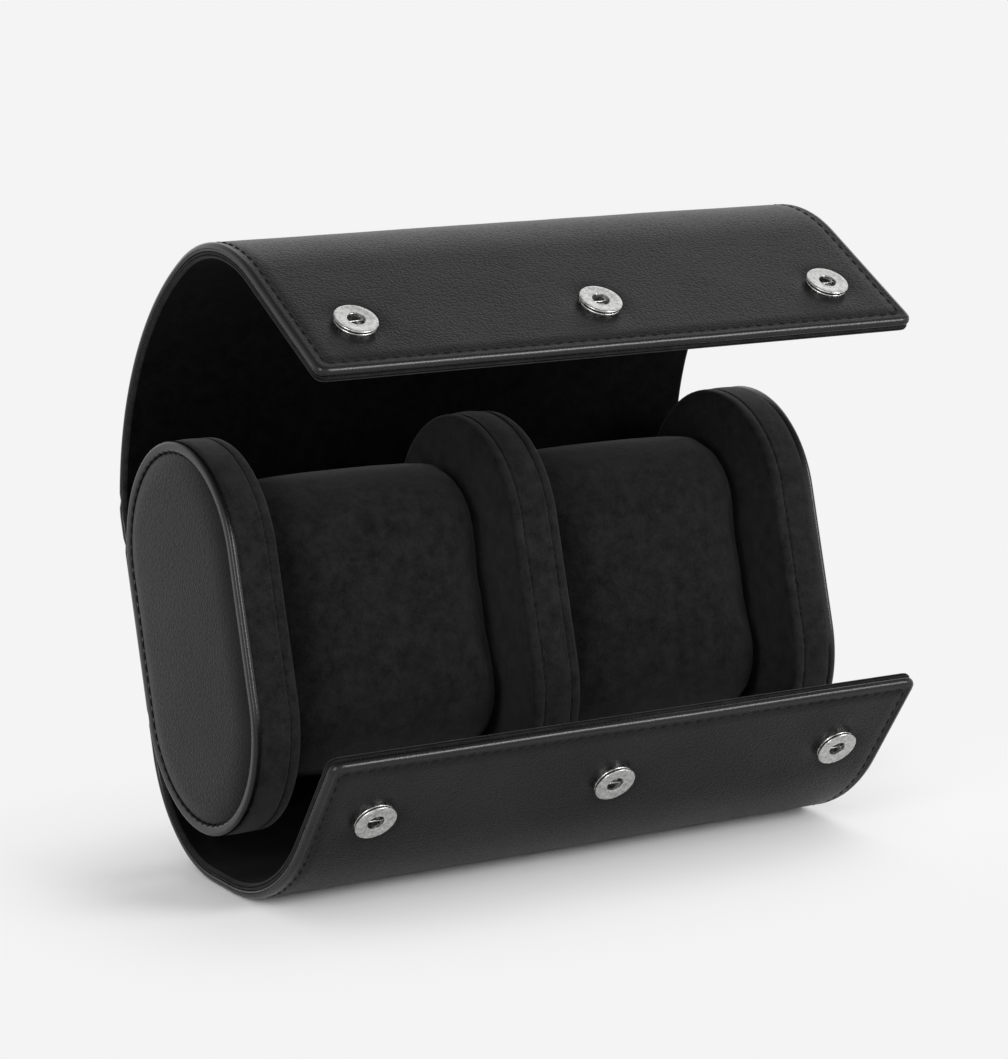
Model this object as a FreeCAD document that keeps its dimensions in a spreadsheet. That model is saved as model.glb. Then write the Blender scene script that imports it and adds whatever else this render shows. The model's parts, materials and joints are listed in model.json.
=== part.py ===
"""Leather roll case for two watches, standing open, leaning back on its rounded lower side.

The frame is millimetres, X along the case, Y to the back, Z up.  The origin lies on the floor
under the middle of the case's box.  The wrap is drawn once as a section in Y and Z: lines and
arcs that run along its outer face, from the lower front edge under the case, up its back and
over the top.  Its layers lie at depths under that face.
"""
import FreeCAD
import Part
import Sketcher
import math
import os

DRIVING = {
    # wrap
    "case_length": 148.0,
    "leather": 1.1,
    "board": 1.3,
    "lining": 1.0,
    "edge_margin": 5.0,
    "lining_inset": 0.6,
    "hinge_gap": 0.48,
    # stance
    "tilt_angle": 16.0,
    "cap_floor_gap": 7.5276,
    # fixed back and base
    "crease_height": 31.0,
    "base_radius": 22.0,
    "base_hinge_ahead": 6.0,
    # lower flap, from its hinge under the case to its front edge
    "lower_flat": 15.0,
    "lower_radius": 31.0,
    "lower_angle": 55.0,
    "lower_reach": 31.5,
    # upper flap, from the crease to its front edge
    "rear_radius": 70.5,
    "rear_angle": 32.5,
    "crown_rear_angle": 27.5,
    "crown_radius": 33.0,
    "crown_angle": 59.5,
    "upper_reach": 35.0,
    # end caps and divider
    "cap_radius": 27.0,
    "cap_half_straight": 16.2,
    "cap_overhang": 2.3,
    "cap_wall_width": 9.5,
    "suede": 1.0,
    "cap_board": 1.6,
    "piping_radius": 1.25,
    "face_foam_rise": 1.9,
    "face_leather": 1.0,
    "face_round": 2.2,
    "divider_width": 12.0,
    # pillows
    "pillow_radius": 18.0,
    "pillow_half_straight": 16.2,
    "pillow_crown": 1.6,
    "pillow_shoulder": 5.0,
    "pillow_drawn_in": 2.2,
    "pillow_cover": 1.3,
    "pillow_clearance": 0.3,
    # snaps
    "snap_end_inset": 15.0,
    "upper_snap_setback": 14.5,
    "lower_snap_setback": 18.5,
    "snap_radius": 4.8,
    "snap_height": 1.3,
    "snap_edge_round": 0.5,
    "snap_bore_radius": 1.5,
    "snap_post_radius": 2.2,
    "snap_post_clearance": 0.15,
    "socket_radius": 4.4,
    "socket_height": 1.1,
    "washer_height": 0.5,
    # how far a cutting tool runs past what it cuts
    "overrun": 1.0,
}

LEATHER = ("leather",)
BOARD = LEATHER + ("board",)
LINING = BOARD + ("lining",)
OUTER_FACE = ()

doc = FreeCAD.newDocument("watch_case")
sheet = doc.addObject("Spreadsheet::Sheet", "sizes")
for row, (alias, number) in enumerate(DRIVING.items(), start=1):
    sheet.set(f"A{row}", alias)
    sheet.set(f"B{row}", str(number))
    sheet.setAlias(f"B{row}", alias)
doc.recompute()

nodes = []


def size(alias):
    """The value of one driving dimension."""
    return float(sheet.get(alias))


def cells(*names):
    """The expression that adds up named cells."""
    return " + ".join(f"sizes.{name}" for name in names) or "0"


def depth(names):
    """How far a layer boundary lies under the wrap's outer face."""
    return sum(size(name) for name in names)


def node(thing, label):
    """Give a finished sub-part its name and list it."""
    thing.Label = label
    nodes.append(thing)
    return thing


class Line:
    """A straight stretch of the wrap's section."""

    def __init__(self, length):
        self.length = length


class Arc:
    """A round stretch: the cell of its outer radius and the angle that it turns, in degrees."""

    def __init__(self, radius, turn):
        self.radius = radius
        self.turn = turn


class Stretch:
    """A run of lines and arcs along the outer face; side is 1 where it turns left, else -1."""

    def __init__(self, start, heading, runs, side):
        self.start = start
        self.heading = heading
        self.runs = runs
        self.side = side

    def inward(self, heading):
        """The unit vector from the outer face into the wrap."""
        angle = math.radians(heading)
        return FreeCAD.Vector(-math.sin(angle), math.cos(angle), 0) * self.side

    @staticmethod
    def along(heading):
        """The unit vector along the outer face."""
        angle = math.radians(heading)
        return FreeCAD.Vector(math.cos(angle), math.sin(angle), 0)

    def stations(self):
        """Each run with its start point, heading, end point and heading there."""
        point, heading = self.start, self.heading
        for run in self.runs:
            if isinstance(run, Line):
                end, after = point + self.along(heading) * run.length, heading
            else:
                centre = point + self.inward(heading) * size(run.radius)
                after = heading + self.side * run.turn
                end = centre - self.inward(after) * size(run.radius)
            yield run, point, heading, end, after
            point, heading = end, after

    def end(self):
        """The last point of the outer face and the heading there."""
        return list(self.stations())[-1][3:]

    def trimmed(self, gap_start, gap_end):
        """The same stretch, cut back from the hinge lines at its ends."""
        runs = list(self.runs)
        start, heading = self.start, self.heading
        first, last = runs[0], runs[-1]
        if isinstance(first, Line):
            start = start + self.along(heading) * gap_start
            runs[0] = Line(first.length - gap_start)
        else:
            angle = math.degrees(gap_start / size(first.radius))
            centre = start + self.inward(heading) * size(first.radius)
            heading += self.side * angle
            start = centre - self.inward(heading) * size(first.radius)
            runs[0] = Arc(first.radius, first.turn - angle)
        last = runs[-1]
        if isinstance(last, Line):
            runs[-1] = Line(last.length - gap_end)
        else:
            angle = math.degrees(gap_end / size(last.radius))
            runs[-1] = Arc(last.radius, last.turn - angle)
        return Stretch(start, heading, runs, self.side)


def attach(body, sketch, role, offset=None):
    """Put a sketch on one of its body's own planes, moved along the normal by an expression."""
    plane = next(item for item in body.Origin.OriginFeatures if item.Role == role)
    sketch.AttachmentSupport = [(plane, "")]
    sketch.MapMode = "FlatFace"
    if offset is not None:
        sketch.setExpression("AttachmentOffset.Base.z", offset)


def bind(sketch, kind, places, value, expression):
    """Add a dimension to a sketch and tie it to the sheet."""
    index = sketch.addConstraint(Sketcher.Constraint(kind, *places, value))
    sketch.setExpression(f"Constraints[{index}]", expression)


def draw_layer(sketch, stretch, outer, inner):
    """Draw the closed outline of one layer of a stretch, between two depths."""
    normal = FreeCAD.Vector(0, 0, 1)
    sides = []
    for names in (outer, inner):
        side = []
        for run, point, heading, end, after in stretch.stations():
            first = point + stretch.inward(heading) * depth(names)
            last = end + stretch.inward(after) * depth(names)
            if isinstance(run, Line):
                index = sketch.addGeometry(Part.LineSegment(first, last), False)
                side.append((index, 1, 2, first, last))
                continue
            radius = size(run.radius) - depth(names)
            centre = point + stretch.inward(heading) * size(run.radius)
            angles = [math.radians(turn - stretch.side * 90) for turn in (heading, after)]
            circle = Part.Circle(centre, normal, radius)
            index = sketch.addGeometry(Part.ArcOfCircle(circle, min(angles), max(angles)), False)
            ends = (1, 2) if stretch.side > 0 else (2, 1)
            side.append((index, *ends, first, last))
            inset = cells(*names)
            bind(sketch, "Radius", (index,), radius, f"sizes.{run.radius} - ({inset})")
        sides.append(side)
    outer_side, inner_side = sides
    back = [(index, last, first, p_last, p_first) for index, first, last, p_first, p_last in inner_side]
    loop = outer_side + [None] + back[::-1] + [None]
    for place, item in enumerate(loop):
        if item is None:
            before = loop[place - 1]
            following = loop[(place + 1) % len(loop)]
            index = sketch.addGeometry(Part.LineSegment(before[4], following[3]), False)
            loop[place] = (index, 1, 2, before[4], following[3])
    for place, item in enumerate(loop):
        following = loop[(place + 1) % len(loop)]
        sketch.addConstraint(Sketcher.Constraint("Coincident", item[0], item[2], following[0], following[1]))


def pad(body, sketch, length, midplane=False):
    """Pad a sketch along its normal by an expression."""
    feature = body.newObject("PartDesign::Pad", "Pad")
    feature.Profile = sketch
    feature.Midplane = midplane
    feature.setExpression("Length", length)
    sketch.Visibility = False
    return feature


def layer(label, stretch, outer, inner, length, pocket=None):
    """One layer of a stretch along the whole case, with an optional bed for the board inside it."""
    body = doc.addObject("PartDesign::Body", label)
    sketch = body.newObject("Sketcher::SketchObject", "section")
    attach(body, sketch, "YZ_Plane")
    draw_layer(sketch, stretch, outer, inner)
    pad(body, sketch, length, midplane=True)
    if pocket is not None:
        bed_stretch, bed_outer, bed_inner, bed_length = pocket
        bed = body.newObject("Sketcher::SketchObject", "bed")
        attach(body, bed, "YZ_Plane")
        draw_layer(bed, bed_stretch, bed_outer, bed_inner)
        doc.recompute()
        whole = body.Shape.Volume
        cut = body.newObject("PartDesign::Pocket", "Pocket")
        cut.Profile = bed
        cut.Midplane = True
        cut.setExpression("Length", bed_length)
        doc.recompute()
        if not body.Shape.Volume < whole:
            raise RuntimeError(f"{label}: the bed for the board cuts nothing")
    body.Placement = FreeCAD.Placement(FreeCAD.Vector(0, section_shift, 0), FreeCAD.Rotation())
    return body


def laminate(name, stretch, gaps, front_edge, holes=None):
    """Leather with a turned edge, the board in it and the lining on it, for one stretch."""
    body_stretch = stretch.trimmed(*gaps)
    margins = (gaps[0], gaps[1] + size("edge_margin") if front_edge else gaps[1])
    board_stretch = stretch.trimmed(*margins)
    inset = size("lining_inset") if front_edge else 0
    lining_stretch = stretch.trimmed(gaps[0], gaps[1] + inset)
    board_length = "sizes.case_length - 2 * sizes.edge_margin"
    lining_length = "sizes.case_length - 2 * sizes.lining_inset"
    bed = (board_stretch, LEATHER, BOARD, board_length)
    layers = [
        ("leather", layer(f"{name}_leather", body_stretch, OUTER_FACE, BOARD, "sizes.case_length", bed)),
        ("board", layer(f"{name}_board", board_stretch, LEATHER, BOARD, board_length)),
        ("lining", layer(f"{name}_lining", lining_stretch, BOARD, LINING, lining_length)),
    ]
    for kind, body in layers:
        if holes is None:
            node(body, f"{name}_{kind}")
            continue
        cut = doc.addObject("Part::Cut", f"{name}_{kind}_pierced")
        cut.Base = body
        cut.Tool = holes(f"{name}_{kind}")
        body.Label = f"{name}_{kind}_blank"
        node(cut, f"{name}_{kind}")


def draw_racetrack(sketch, radius, half_straight):
    """Draw a fully constrained racetrack: two half circles joined by two straights."""
    reach, rise = evaluate(radius), evaluate(half_straight)
    normal = FreeCAD.Vector(0, 0, 1)
    arcs = []
    for height, start in ((rise, 0), (-rise, math.pi)):
        circle = Part.Circle(FreeCAD.Vector(0, height, 0), normal, reach)
        arcs.append(sketch.addGeometry(Part.ArcOfCircle(circle, start, start + math.pi), False))
    left = sketch.addGeometry(
        Part.LineSegment(FreeCAD.Vector(-reach, rise, 0), FreeCAD.Vector(-reach, -rise, 0)), False)
    right = sketch.addGeometry(
        Part.LineSegment(FreeCAD.Vector(reach, -rise, 0), FreeCAD.Vector(reach, rise, 0)), False)
    top, bottom = arcs
    for first, first_end, second, second_end in (
            (top, 2, left, 1), (left, 2, bottom, 1), (bottom, 2, right, 1), (right, 2, top, 1)):
        sketch.addConstraint(Sketcher.Constraint("Tangent", first, first_end, second, second_end))
    for arc in arcs:
        sketch.addConstraint(Sketcher.Constraint("PointOnObject", arc, 3, -2))
        bind(sketch, "Radius", (arc,), reach, radius)
    bind(sketch, "DistanceY", (-1, 1, top, 3), rise, half_straight)
    bind(sketch, "DistanceY", (bottom, 3, -1, 1), rise, half_straight)


def evaluate(expression):
    """The number that an expression over the sheet's cells has now."""
    return float(sheet.evalExpression(expression))


def case_placement(turned=False, along=0):
    """Where the things between the flaps stand: tilted back, and turned round for the left end."""
    tilt = FreeCAD.Rotation(FreeCAD.Vector(1, 0, 0), -size("tilt_angle"))
    turn = FreeCAD.Rotation(FreeCAD.Vector(0, 0, 1), 180 if turned else 0)
    base = FreeCAD.Vector(along, section_shift, centre.y)
    return FreeCAD.Placement(base, tilt * turn)


def racetrack_body(label, radii, start, length, round_over=None):
    """A racetrack disc, or ring where two radii are given, padded along X from a start plane."""
    body = doc.addObject("PartDesign::Body", label)
    sketch = body.newObject("Sketcher::SketchObject", "outline")
    attach(body, sketch, "YZ_Plane", start)
    for radius in radii:
        draw_racetrack(sketch, radius, "sizes.cap_half_straight")
    feature = pad(body, sketch, length)
    if round_over is not None:
        doc.recompute()
        face_x = max(vertex.X for vertex in feature.Shape.Vertexes)
        rim = [f"Edge{place}" for place, edge in enumerate(feature.Shape.Edges, start=1)
               if all(abs(vertex.X - face_x) < Part.Precision.confusion() for vertex in edge.Vertexes)]
        fillet = body.newObject("PartDesign::Fillet", "Fillet")
        fillet.Base = (feature, rim)
        fillet.setExpression("Radius", round_over)
    return body


def piping_body(label, centre_x):
    """The round bead sewn along a cap's rim."""
    body = doc.addObject("PartDesign::Body", label)
    spine = body.newObject("Sketcher::SketchObject", "spine")
    attach(body, spine, "YZ_Plane", centre_x)
    track = "sizes.cap_radius - sizes.piping_radius"
    draw_racetrack(spine, track, "sizes.cap_half_straight")
    profile = body.newObject("Sketcher::SketchObject", "profile")
    attach(body, profile, "XY_Plane")
    place = FreeCAD.Vector(evaluate(centre_x), evaluate(track), 0)
    circle = Part.Circle(place, FreeCAD.Vector(0, 0, 1), size("piping_radius"))
    index = profile.addGeometry(circle, False)
    bind(profile, "Radius", (index,), size("piping_radius"), "sizes.piping_radius")
    bind(profile, "DistanceX", (-1, 1, index, 3), place.x, centre_x)
    bind(profile, "DistanceY", (-1, 1, index, 3), place.y, track)
    pipe = body.newObject("PartDesign::AdditivePipe", "Pipe")
    pipe.Profile = profile
    pipe.Spine = (spine, [])
    return body


def cut_node(label, base, tool, placement):
    """A sub-part made by cutting one body with another."""
    cut = doc.addObject("Part::Cut", label)
    cut.Base = base
    cut.Tool = tool
    cut.Placement = placement
    base.Label = f"{label}_blank"
    return node(cut, label)


def end_cap(side, turned):
    """One end cap: panel to the bay, foam core, suede wall, board, padded leather face, piping."""
    placement = case_placement(turned)
    bay = BAY_END
    rim = f"{bay} + sizes.cap_wall_width"
    inside = "sizes.cap_radius - sizes.suede"
    plain = (
        ("inner_panel", [inside], bay, "sizes.suede"),
        ("core", [inside], f"{bay} + sizes.suede",
         "sizes.cap_wall_width - sizes.suede - sizes.cap_board"),
        ("board", [inside], f"{rim} - sizes.cap_board", "sizes.cap_board"),
        ("wall", ["sizes.cap_radius", inside], bay, "sizes.cap_wall_width"),
    )
    for kind, radii, start, length in plain:
        body = node(racetrack_body(f"{side}_cap_{kind}", radii, start, length), f"{side}_cap_{kind}")
        body.Placement = placement
    piping = node(piping_body(f"{side}_cap_piping", f"{rim} + sizes.piping_radius"), f"{side}_cap_piping")
    piping.Placement = placement
    face = "sizes.cap_radius - 2 * sizes.piping_radius"
    foam = f"{face} - sizes.face_leather"
    foam_round = "sizes.face_round - sizes.face_leather"
    pad_rise = "sizes.face_foam_rise + sizes.face_leather"
    leather = racetrack_body(f"{side}_face_blank", [face], rim, pad_rise, "sizes.face_round")
    hollow = racetrack_body(f"{side}_face_hollow", [foam], rim, "sizes.face_foam_rise", foam_round)
    cut_node(f"{side}_cap_face_leather", leather, hollow, placement)
    filling = racetrack_body(f"{side}_face_foam", [foam], rim, "sizes.face_foam_rise", foam_round)
    node(filling, f"{side}_cap_face_foam").Placement = placement


def divider():
    """The wall between the two bays: foam core, suede wall round it and a panel on each side."""
    inside = "sizes.cap_radius - sizes.suede"
    half = "sizes.divider_width / 2"
    pieces = (
        ("core", [inside], f"sizes.suede - {half}", "sizes.divider_width - 2 * sizes.suede"),
        ("wall", ["sizes.cap_radius", inside], f"-{half}", "sizes.divider_width"),
        ("left_panel", [inside], f"-{half}", "sizes.suede"),
        ("right_panel", [inside], f"{half} - sizes.suede", "sizes.suede"),
    )
    for kind, radii, start, length in pieces:
        body = node(racetrack_body(f"divider_{kind}", radii, start, length), f"divider_{kind}")
        body.Placement = case_placement()


def draw_pillow_section(sketch, radius, half_straight):
    """Draw a racetrack of quarter circles, for a loft."""
    reach, rise = evaluate(radius), evaluate(half_straight)
    normal = FreeCAD.Vector(0, 0, 1)
    chain = []
    quarter = math.pi / 2
    for height, start in ((rise, 0), (-rise, math.pi)):
        centre = FreeCAD.Vector(0, height, 0)
        for turn in (start, start + quarter):
            arc = Part.ArcOfCircle(Part.Circle(centre, normal, reach), turn, turn + quarter)
            index = sketch.addGeometry(arc, False)
            bind(sketch, "Radius", (index,), reach, radius)
            chain.append(index)
        side = -reach if start == 0 else reach
        line = Part.LineSegment(FreeCAD.Vector(side, height, 0), FreeCAD.Vector(side, -height, 0))
        chain.append(sketch.addGeometry(line, False))
    for place, index in enumerate(chain):
        following = chain[(place + 1) % len(chain)]
        sketch.addConstraint(Sketcher.Constraint("Coincident", index, 2, following, 1))


def pillow_body(label, inset):
    """A crowned pillow, inset all over by an expression: fullest in the middle, drawn in at its ends."""
    body = doc.addObject("PartDesign::Body", label)
    end = f"{PILLOW_HALF} - ({inset})"
    full = f"sizes.pillow_radius - ({inset})"
    shoulder_x = f"{end} - sizes.pillow_shoulder"
    stations = (
        (f"-({end})", f"{full} - sizes.pillow_drawn_in"),
        (f"-({shoulder_x})", full),
        ("0", f"{full} + sizes.pillow_crown"),
        (shoulder_x, full),
        (end, f"{full} - sizes.pillow_drawn_in"),
    )
    sections = []
    for place, radius in stations:
        sketch = body.newObject("Sketcher::SketchObject", "station")
        attach(body, sketch, "YZ_Plane", place)
        draw_pillow_section(sketch, radius, "sizes.pillow_half_straight")
        sketch.Visibility = False
        sections.append(sketch)
    loft = body.newObject("PartDesign::AdditiveLoft", "Loft")
    loft.Profile = sections[0]
    loft.Sections = sections[1:]
    return body


def pillow(side, sign):
    """One pillow in its bay: a sewn suede cover round a foam filling."""
    placement = case_placement(along=sign * evaluate(BAY_MIDDLE))
    cover = pillow_body(f"{side}_pillow_blank", "0")
    hollow = pillow_body(f"{side}_pillow_hollow", "sizes.pillow_cover")
    cut_node(f"{side}_pillow_cover", cover, hollow, placement)
    foam = pillow_body(f"{side}_pillow_filling", "sizes.pillow_cover")
    node(foam, f"{side}_pillow_foam").Placement = placement


def snap_places(stretch, setback):
    """The three places of a flap's snaps on its outer face, each with its axis pointing outwards."""
    point, heading = stretch.end()
    outward = stretch.inward(heading) * -1
    spot = point - stretch.along(heading) * setback
    axis = FreeCAD.Vector(0, outward.x, outward.y)
    turn = FreeCAD.Rotation(FreeCAD.Vector(0, 0, 1), axis)
    reach = size("case_length") / 2 - size("snap_end_inset")
    for step in (-1, 0, 1):
        base = FreeCAD.Vector(step * reach, spot.x + section_shift, spot.y)
        yield FreeCAD.Placement(base, turn)


def post_holes(stretch, setback):
    """A maker of the three holes that a flap's snap posts pass through."""
    def make(label):
        drills = []
        for place in snap_places(stretch, setback):
            drill = doc.addObject("Part::Cylinder", f"{label}_drill")
            drill.setExpression("Radius", "sizes.snap_post_radius + sizes.snap_post_clearance")
            drill.setExpression("Height", f"{cells(*LINING)} + 2 * sizes.overrun")
            sunk = FreeCAD.Placement(FreeCAD.Vector(0, 0, -depth(LINING) - size("overrun")), FreeCAD.Rotation())
            drill.Placement = place.multiply(sunk)
            drills.append(drill)
        group = doc.addObject("Part::Compound", f"{label}_drills")
        group.Links = drills
        return group
    return make


def turned_piece(label, points, round_edge=None):
    """A round piece turned about Z from an outline of radius and height expressions."""
    body = doc.addObject("PartDesign::Body", label)
    sketch = body.newObject("Sketcher::SketchObject", "half_section")
    attach(body, sketch, "XZ_Plane")
    numbers = [FreeCAD.Vector(evaluate(radius), evaluate(height), 0) for radius, height in points]
    lines = []
    for place, start in enumerate(numbers):
        following = numbers[(place + 1) % len(numbers)]
        lines.append(sketch.addGeometry(Part.LineSegment(start, following), False))
    for place, line in enumerate(lines):
        following = lines[(place + 1) % len(lines)]
        sketch.addConstraint(Sketcher.Constraint("Coincident", line, 2, following, 1))
        radius, height = points[place]
        bind(sketch, "DistanceX", (-1, 1, line, 1), numbers[place].x, radius)
        bind(sketch, "DistanceY", (-1, 1, line, 1), numbers[place].y, height)
    revolution = body.newObject("PartDesign::Revolution", "Revolution")
    revolution.Profile = sketch
    revolution.ReferenceAxis = (sketch, ["V_Axis"])
    if round_edge is not None:
        doc.recompute()
        wide = max(vertex.X for vertex in revolution.Shape.Vertexes)
        high = max(vertex.Z for vertex in revolution.Shape.Vertexes)
        rim = [f"Edge{place}" for place, edge in enumerate(revolution.Shape.Edges, start=1)
               if abs(edge.BoundBox.XMax - wide) < Part.Precision.confusion()
               and abs(edge.BoundBox.ZMin - high) < Part.Precision.confusion()]
        fillet = body.newObject("PartDesign::Fillet", "Fillet")
        fillet.Base = (revolution, rim)
        fillet.setExpression("Radius", round_edge)
    return body


def snap_group(label, stretch, setback, points, round_edge=None):
    """Three equal turned pieces of a flap's snaps, as one sub-part of separate solids."""
    links = []
    master = turned_piece(f"{label}_master", points, round_edge)
    doc.recompute()
    for place in snap_places(stretch, setback):
        copy = doc.addObject("App::Link", f"{label}_copy")
        copy.LinkedObject = master
        copy.LinkPlacement = place
        links.append(copy)
    group = doc.addObject("Part::Compound", label)
    group.Links = links
    node(group, label)


def flap_snaps(flap, stretch, setback, outer_name, inner_name, ring_height):
    """The heads with their posts on a flap's outer face, and the rings closed on the posts inside."""
    face = f"-({cells(*LINING)})"
    post_end = f"{face} - {ring_height}"
    head = [
        ("sizes.snap_bore_radius", "sizes.snap_height"),
        ("sizes.snap_bore_radius", post_end),
        ("sizes.snap_post_radius", post_end),
        ("sizes.snap_post_radius", "0"),
        ("sizes.snap_radius", "0"),
        ("sizes.snap_radius", "sizes.snap_height"),
    ]
    ring = [
        ("sizes.snap_post_radius", face),
        ("sizes.snap_post_radius", post_end),
        ("sizes.socket_radius", post_end),
        ("sizes.socket_radius", face),
    ]
    snap_group(f"{flap}_{outer_name}", stretch, setback, head, "sizes.snap_edge_round")
    snap_group(f"{flap}_{inner_name}", stretch, setback, ring)


# Section of the wrap: the tilted back face, the base under it and the two flaps.
tilt = math.radians(size("tilt_angle"))
back_normal = FreeCAD.Vector(math.cos(tilt), -math.sin(tilt), 0)
back_rise = FreeCAD.Vector(math.sin(tilt), math.cos(tilt), 0)
lower_half = size("cap_radius") + size("cap_half_straight") * math.cos(tilt)
centre = FreeCAD.Vector(0, depth(LINING) + size("cap_floor_gap") + lower_half, 0)
back_foot = centre + back_normal * (size("cap_radius") + depth(LINING))
crease = back_foot + back_rise * size("crease_height")
floor_corner = back_foot - back_rise * (back_foot.y / back_rise.y)
back_turn = 90 - size("tilt_angle")
tangent_run = size("base_radius") * math.tan(math.radians(back_turn / 2))
base_hinge = FreeCAD.Vector(-size("base_hinge_ahead"), 0, 0)
flat_run = floor_corner.x - tangent_run - base_hinge.x
back_run = (crease - floor_corner).Length - tangent_run

back = Stretch(base_hinge, 0, [Line(flat_run), Arc("base_radius", back_turn), Line(back_run)], 1)
rear = Stretch(crease, 90, [Arc("rear_radius", size("rear_angle"))], 1)
crown = Stretch(*rear.end(), [Arc("rear_radius", size("crown_rear_angle")),
                              Arc("crown_radius", size("crown_angle"))], 1)
upper = Stretch(*crown.end(), [Line(size("upper_reach"))], 1)
under = Stretch(base_hinge, 180, [Line(size("lower_flat")), Arc("lower_radius", size("lower_angle"))], -1)
lower = Stretch(*under.end(), [Line(size("lower_reach"))], -1)
section_shift = -(crease.x + lower.end()[0].x) / 2

BAY_END = ("sizes.case_length / 2 + sizes.cap_overhang - sizes.face_foam_rise - sizes.face_leather"
           " - sizes.cap_wall_width")
BAY_MIDDLE = f"({BAY_END} + sizes.divider_width / 2) / 2"
PILLOW_HALF = f"({BAY_END} - sizes.divider_width / 2) / 2 - sizes.pillow_clearance"

gap = size("hinge_gap")
crease_gap = gap + depth(BOARD) * math.tan(tilt / 2)
laminate("back", back, (gap, crease_gap), False)
laminate("upper_rear", rear, (crease_gap, gap), False)
laminate("upper_crown", crown, (gap, gap), False)
upper_holes = post_holes(upper, size("upper_snap_setback"))
laminate("upper_front", upper, (gap, 0), True, upper_holes)
laminate("lower_base", under, (gap, gap), False)
lower_holes = post_holes(lower, size("lower_snap_setback"))
laminate("lower_front", lower, (gap, 0), True, lower_holes)
end_cap("left", True)
end_cap("right", False)
divider()
pillow("left", -1)
pillow("right", 1)
flap_snaps("upper", upper, size("upper_snap_setback"), "snap_caps", "snap_sockets", "sizes.socket_height")
flap_snaps("lower", lower, size("lower_snap_setback"), "snap_studs", "snap_washers", "sizes.washer_height")
doc.recompute()

for thing in doc.Objects:
    if {"Invalid", "Error"} & set(thing.State):
        raise RuntimeError(f"{thing.Label}: {thing.State}")
os.makedirs("parts", exist_ok=True)
for thing in nodes:
    if thing.Shape.isNull() or not thing.Shape.isValid():
        raise RuntimeError(f"{thing.Label}: no valid shape")
for thing in nodes:
    thing.Shape.exportStep(f"parts/{thing.Label}.step")
    box = thing.Shape.BoundBox
    print(f"{thing.Label}: {len(thing.Shape.Solids)} solids, {thing.Shape.Volume:.1f} mm3, "
          f"x {box.XMin:.1f} to {box.XMax:.1f}, y {box.YMin:.1f} to {box.YMax:.1f}, "
          f"z {box.ZMin:.1f} to {box.ZMax:.1f}")
crease_fold = Stretch(crease, 90 - size("tilt_angle") / 2, [], 1)
for name, stretch, fold_depth in (("crease", crease_fold, depth(BOARD) / math.cos(tilt / 2)),
                                  ("crown", crown, depth(BOARD)), ("upper front", upper, depth(LEATHER)),
                                  ("base", under, depth(BOARD)), ("lower front", lower, depth(BOARD))):
    fold = stretch.start + stretch.inward(stretch.heading) * fold_depth
    print(f"{name} fold: y {fold.x + section_shift:.4f} z {fold.y:.4f}, heading {stretch.heading:.2f}")
print(f"case centre y {section_shift:.3f} z {centre.y:.3f}")
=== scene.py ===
"""Looks of a black leather roll case for two watches, standing open on its rounded base.

The frame is metres, X along the case, Y to the back, Z up.  The wrap is one sheet of leather with
a suede lining.  Its section in Y and Z is a chain of straight and round runs along the outer face,
from the lower front edge under the case, up its back and over the top to the upper front edge.
"""
import json
import logging
import math
from contextlib import contextmanager
from dataclasses import dataclass
from enum import Enum
from typing import Any, Callable, Iterator, Sequence

import bmesh
import bpy
from mathutils import Matrix, Vector, noise


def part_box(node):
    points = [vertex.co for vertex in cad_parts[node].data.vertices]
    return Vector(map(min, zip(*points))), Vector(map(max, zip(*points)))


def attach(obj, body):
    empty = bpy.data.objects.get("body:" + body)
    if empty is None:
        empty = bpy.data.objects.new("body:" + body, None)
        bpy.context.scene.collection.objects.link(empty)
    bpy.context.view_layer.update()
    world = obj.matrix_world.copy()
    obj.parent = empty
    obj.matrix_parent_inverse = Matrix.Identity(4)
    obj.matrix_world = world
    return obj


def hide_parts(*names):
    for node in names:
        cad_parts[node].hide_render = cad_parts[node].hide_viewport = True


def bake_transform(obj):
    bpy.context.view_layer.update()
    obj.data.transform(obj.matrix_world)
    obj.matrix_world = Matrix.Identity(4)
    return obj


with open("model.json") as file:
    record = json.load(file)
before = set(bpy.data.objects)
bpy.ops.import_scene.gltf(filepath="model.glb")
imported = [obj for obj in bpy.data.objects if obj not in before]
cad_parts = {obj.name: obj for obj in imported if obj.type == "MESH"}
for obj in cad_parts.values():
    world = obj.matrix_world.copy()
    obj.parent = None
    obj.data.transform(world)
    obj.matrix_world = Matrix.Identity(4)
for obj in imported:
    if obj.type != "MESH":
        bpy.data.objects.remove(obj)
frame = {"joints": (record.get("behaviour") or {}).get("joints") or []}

LOG = logging.getLogger("watch_case")
MM = 0.001
MERGE_DISTANCE = 0.002 * MM
SMOOTH_ANGLE = math.radians(38)
METAL_SMOOTH_ANGLE = math.radians(30)
SNAP_HEAD_RADIUS = 4.8 * MM


class Pick(Enum):
    """What an operator works on in edit mode."""

    VERTS = "VERT"
    EDGES = "EDGE"
    FACES = "FACE"


class Body(str, Enum):
    """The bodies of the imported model."""

    CASE = "case"
    UPPER_REAR = "upper_rear"
    UPPER_CROWN = "upper_crown"
    UPPER_FRONT = "upper_front"
    LOWER_BASE = "lower_base"
    LOWER_FRONT = "lower_front"


class End(Enum):
    """The two ends of the case, with the way that each one faces along X."""

    LEFT = -1
    RIGHT = 1

    @property
    def word(self) -> str:
        """The end's name in piece and node names."""
        return self.name.lower()


# Node materials


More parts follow.
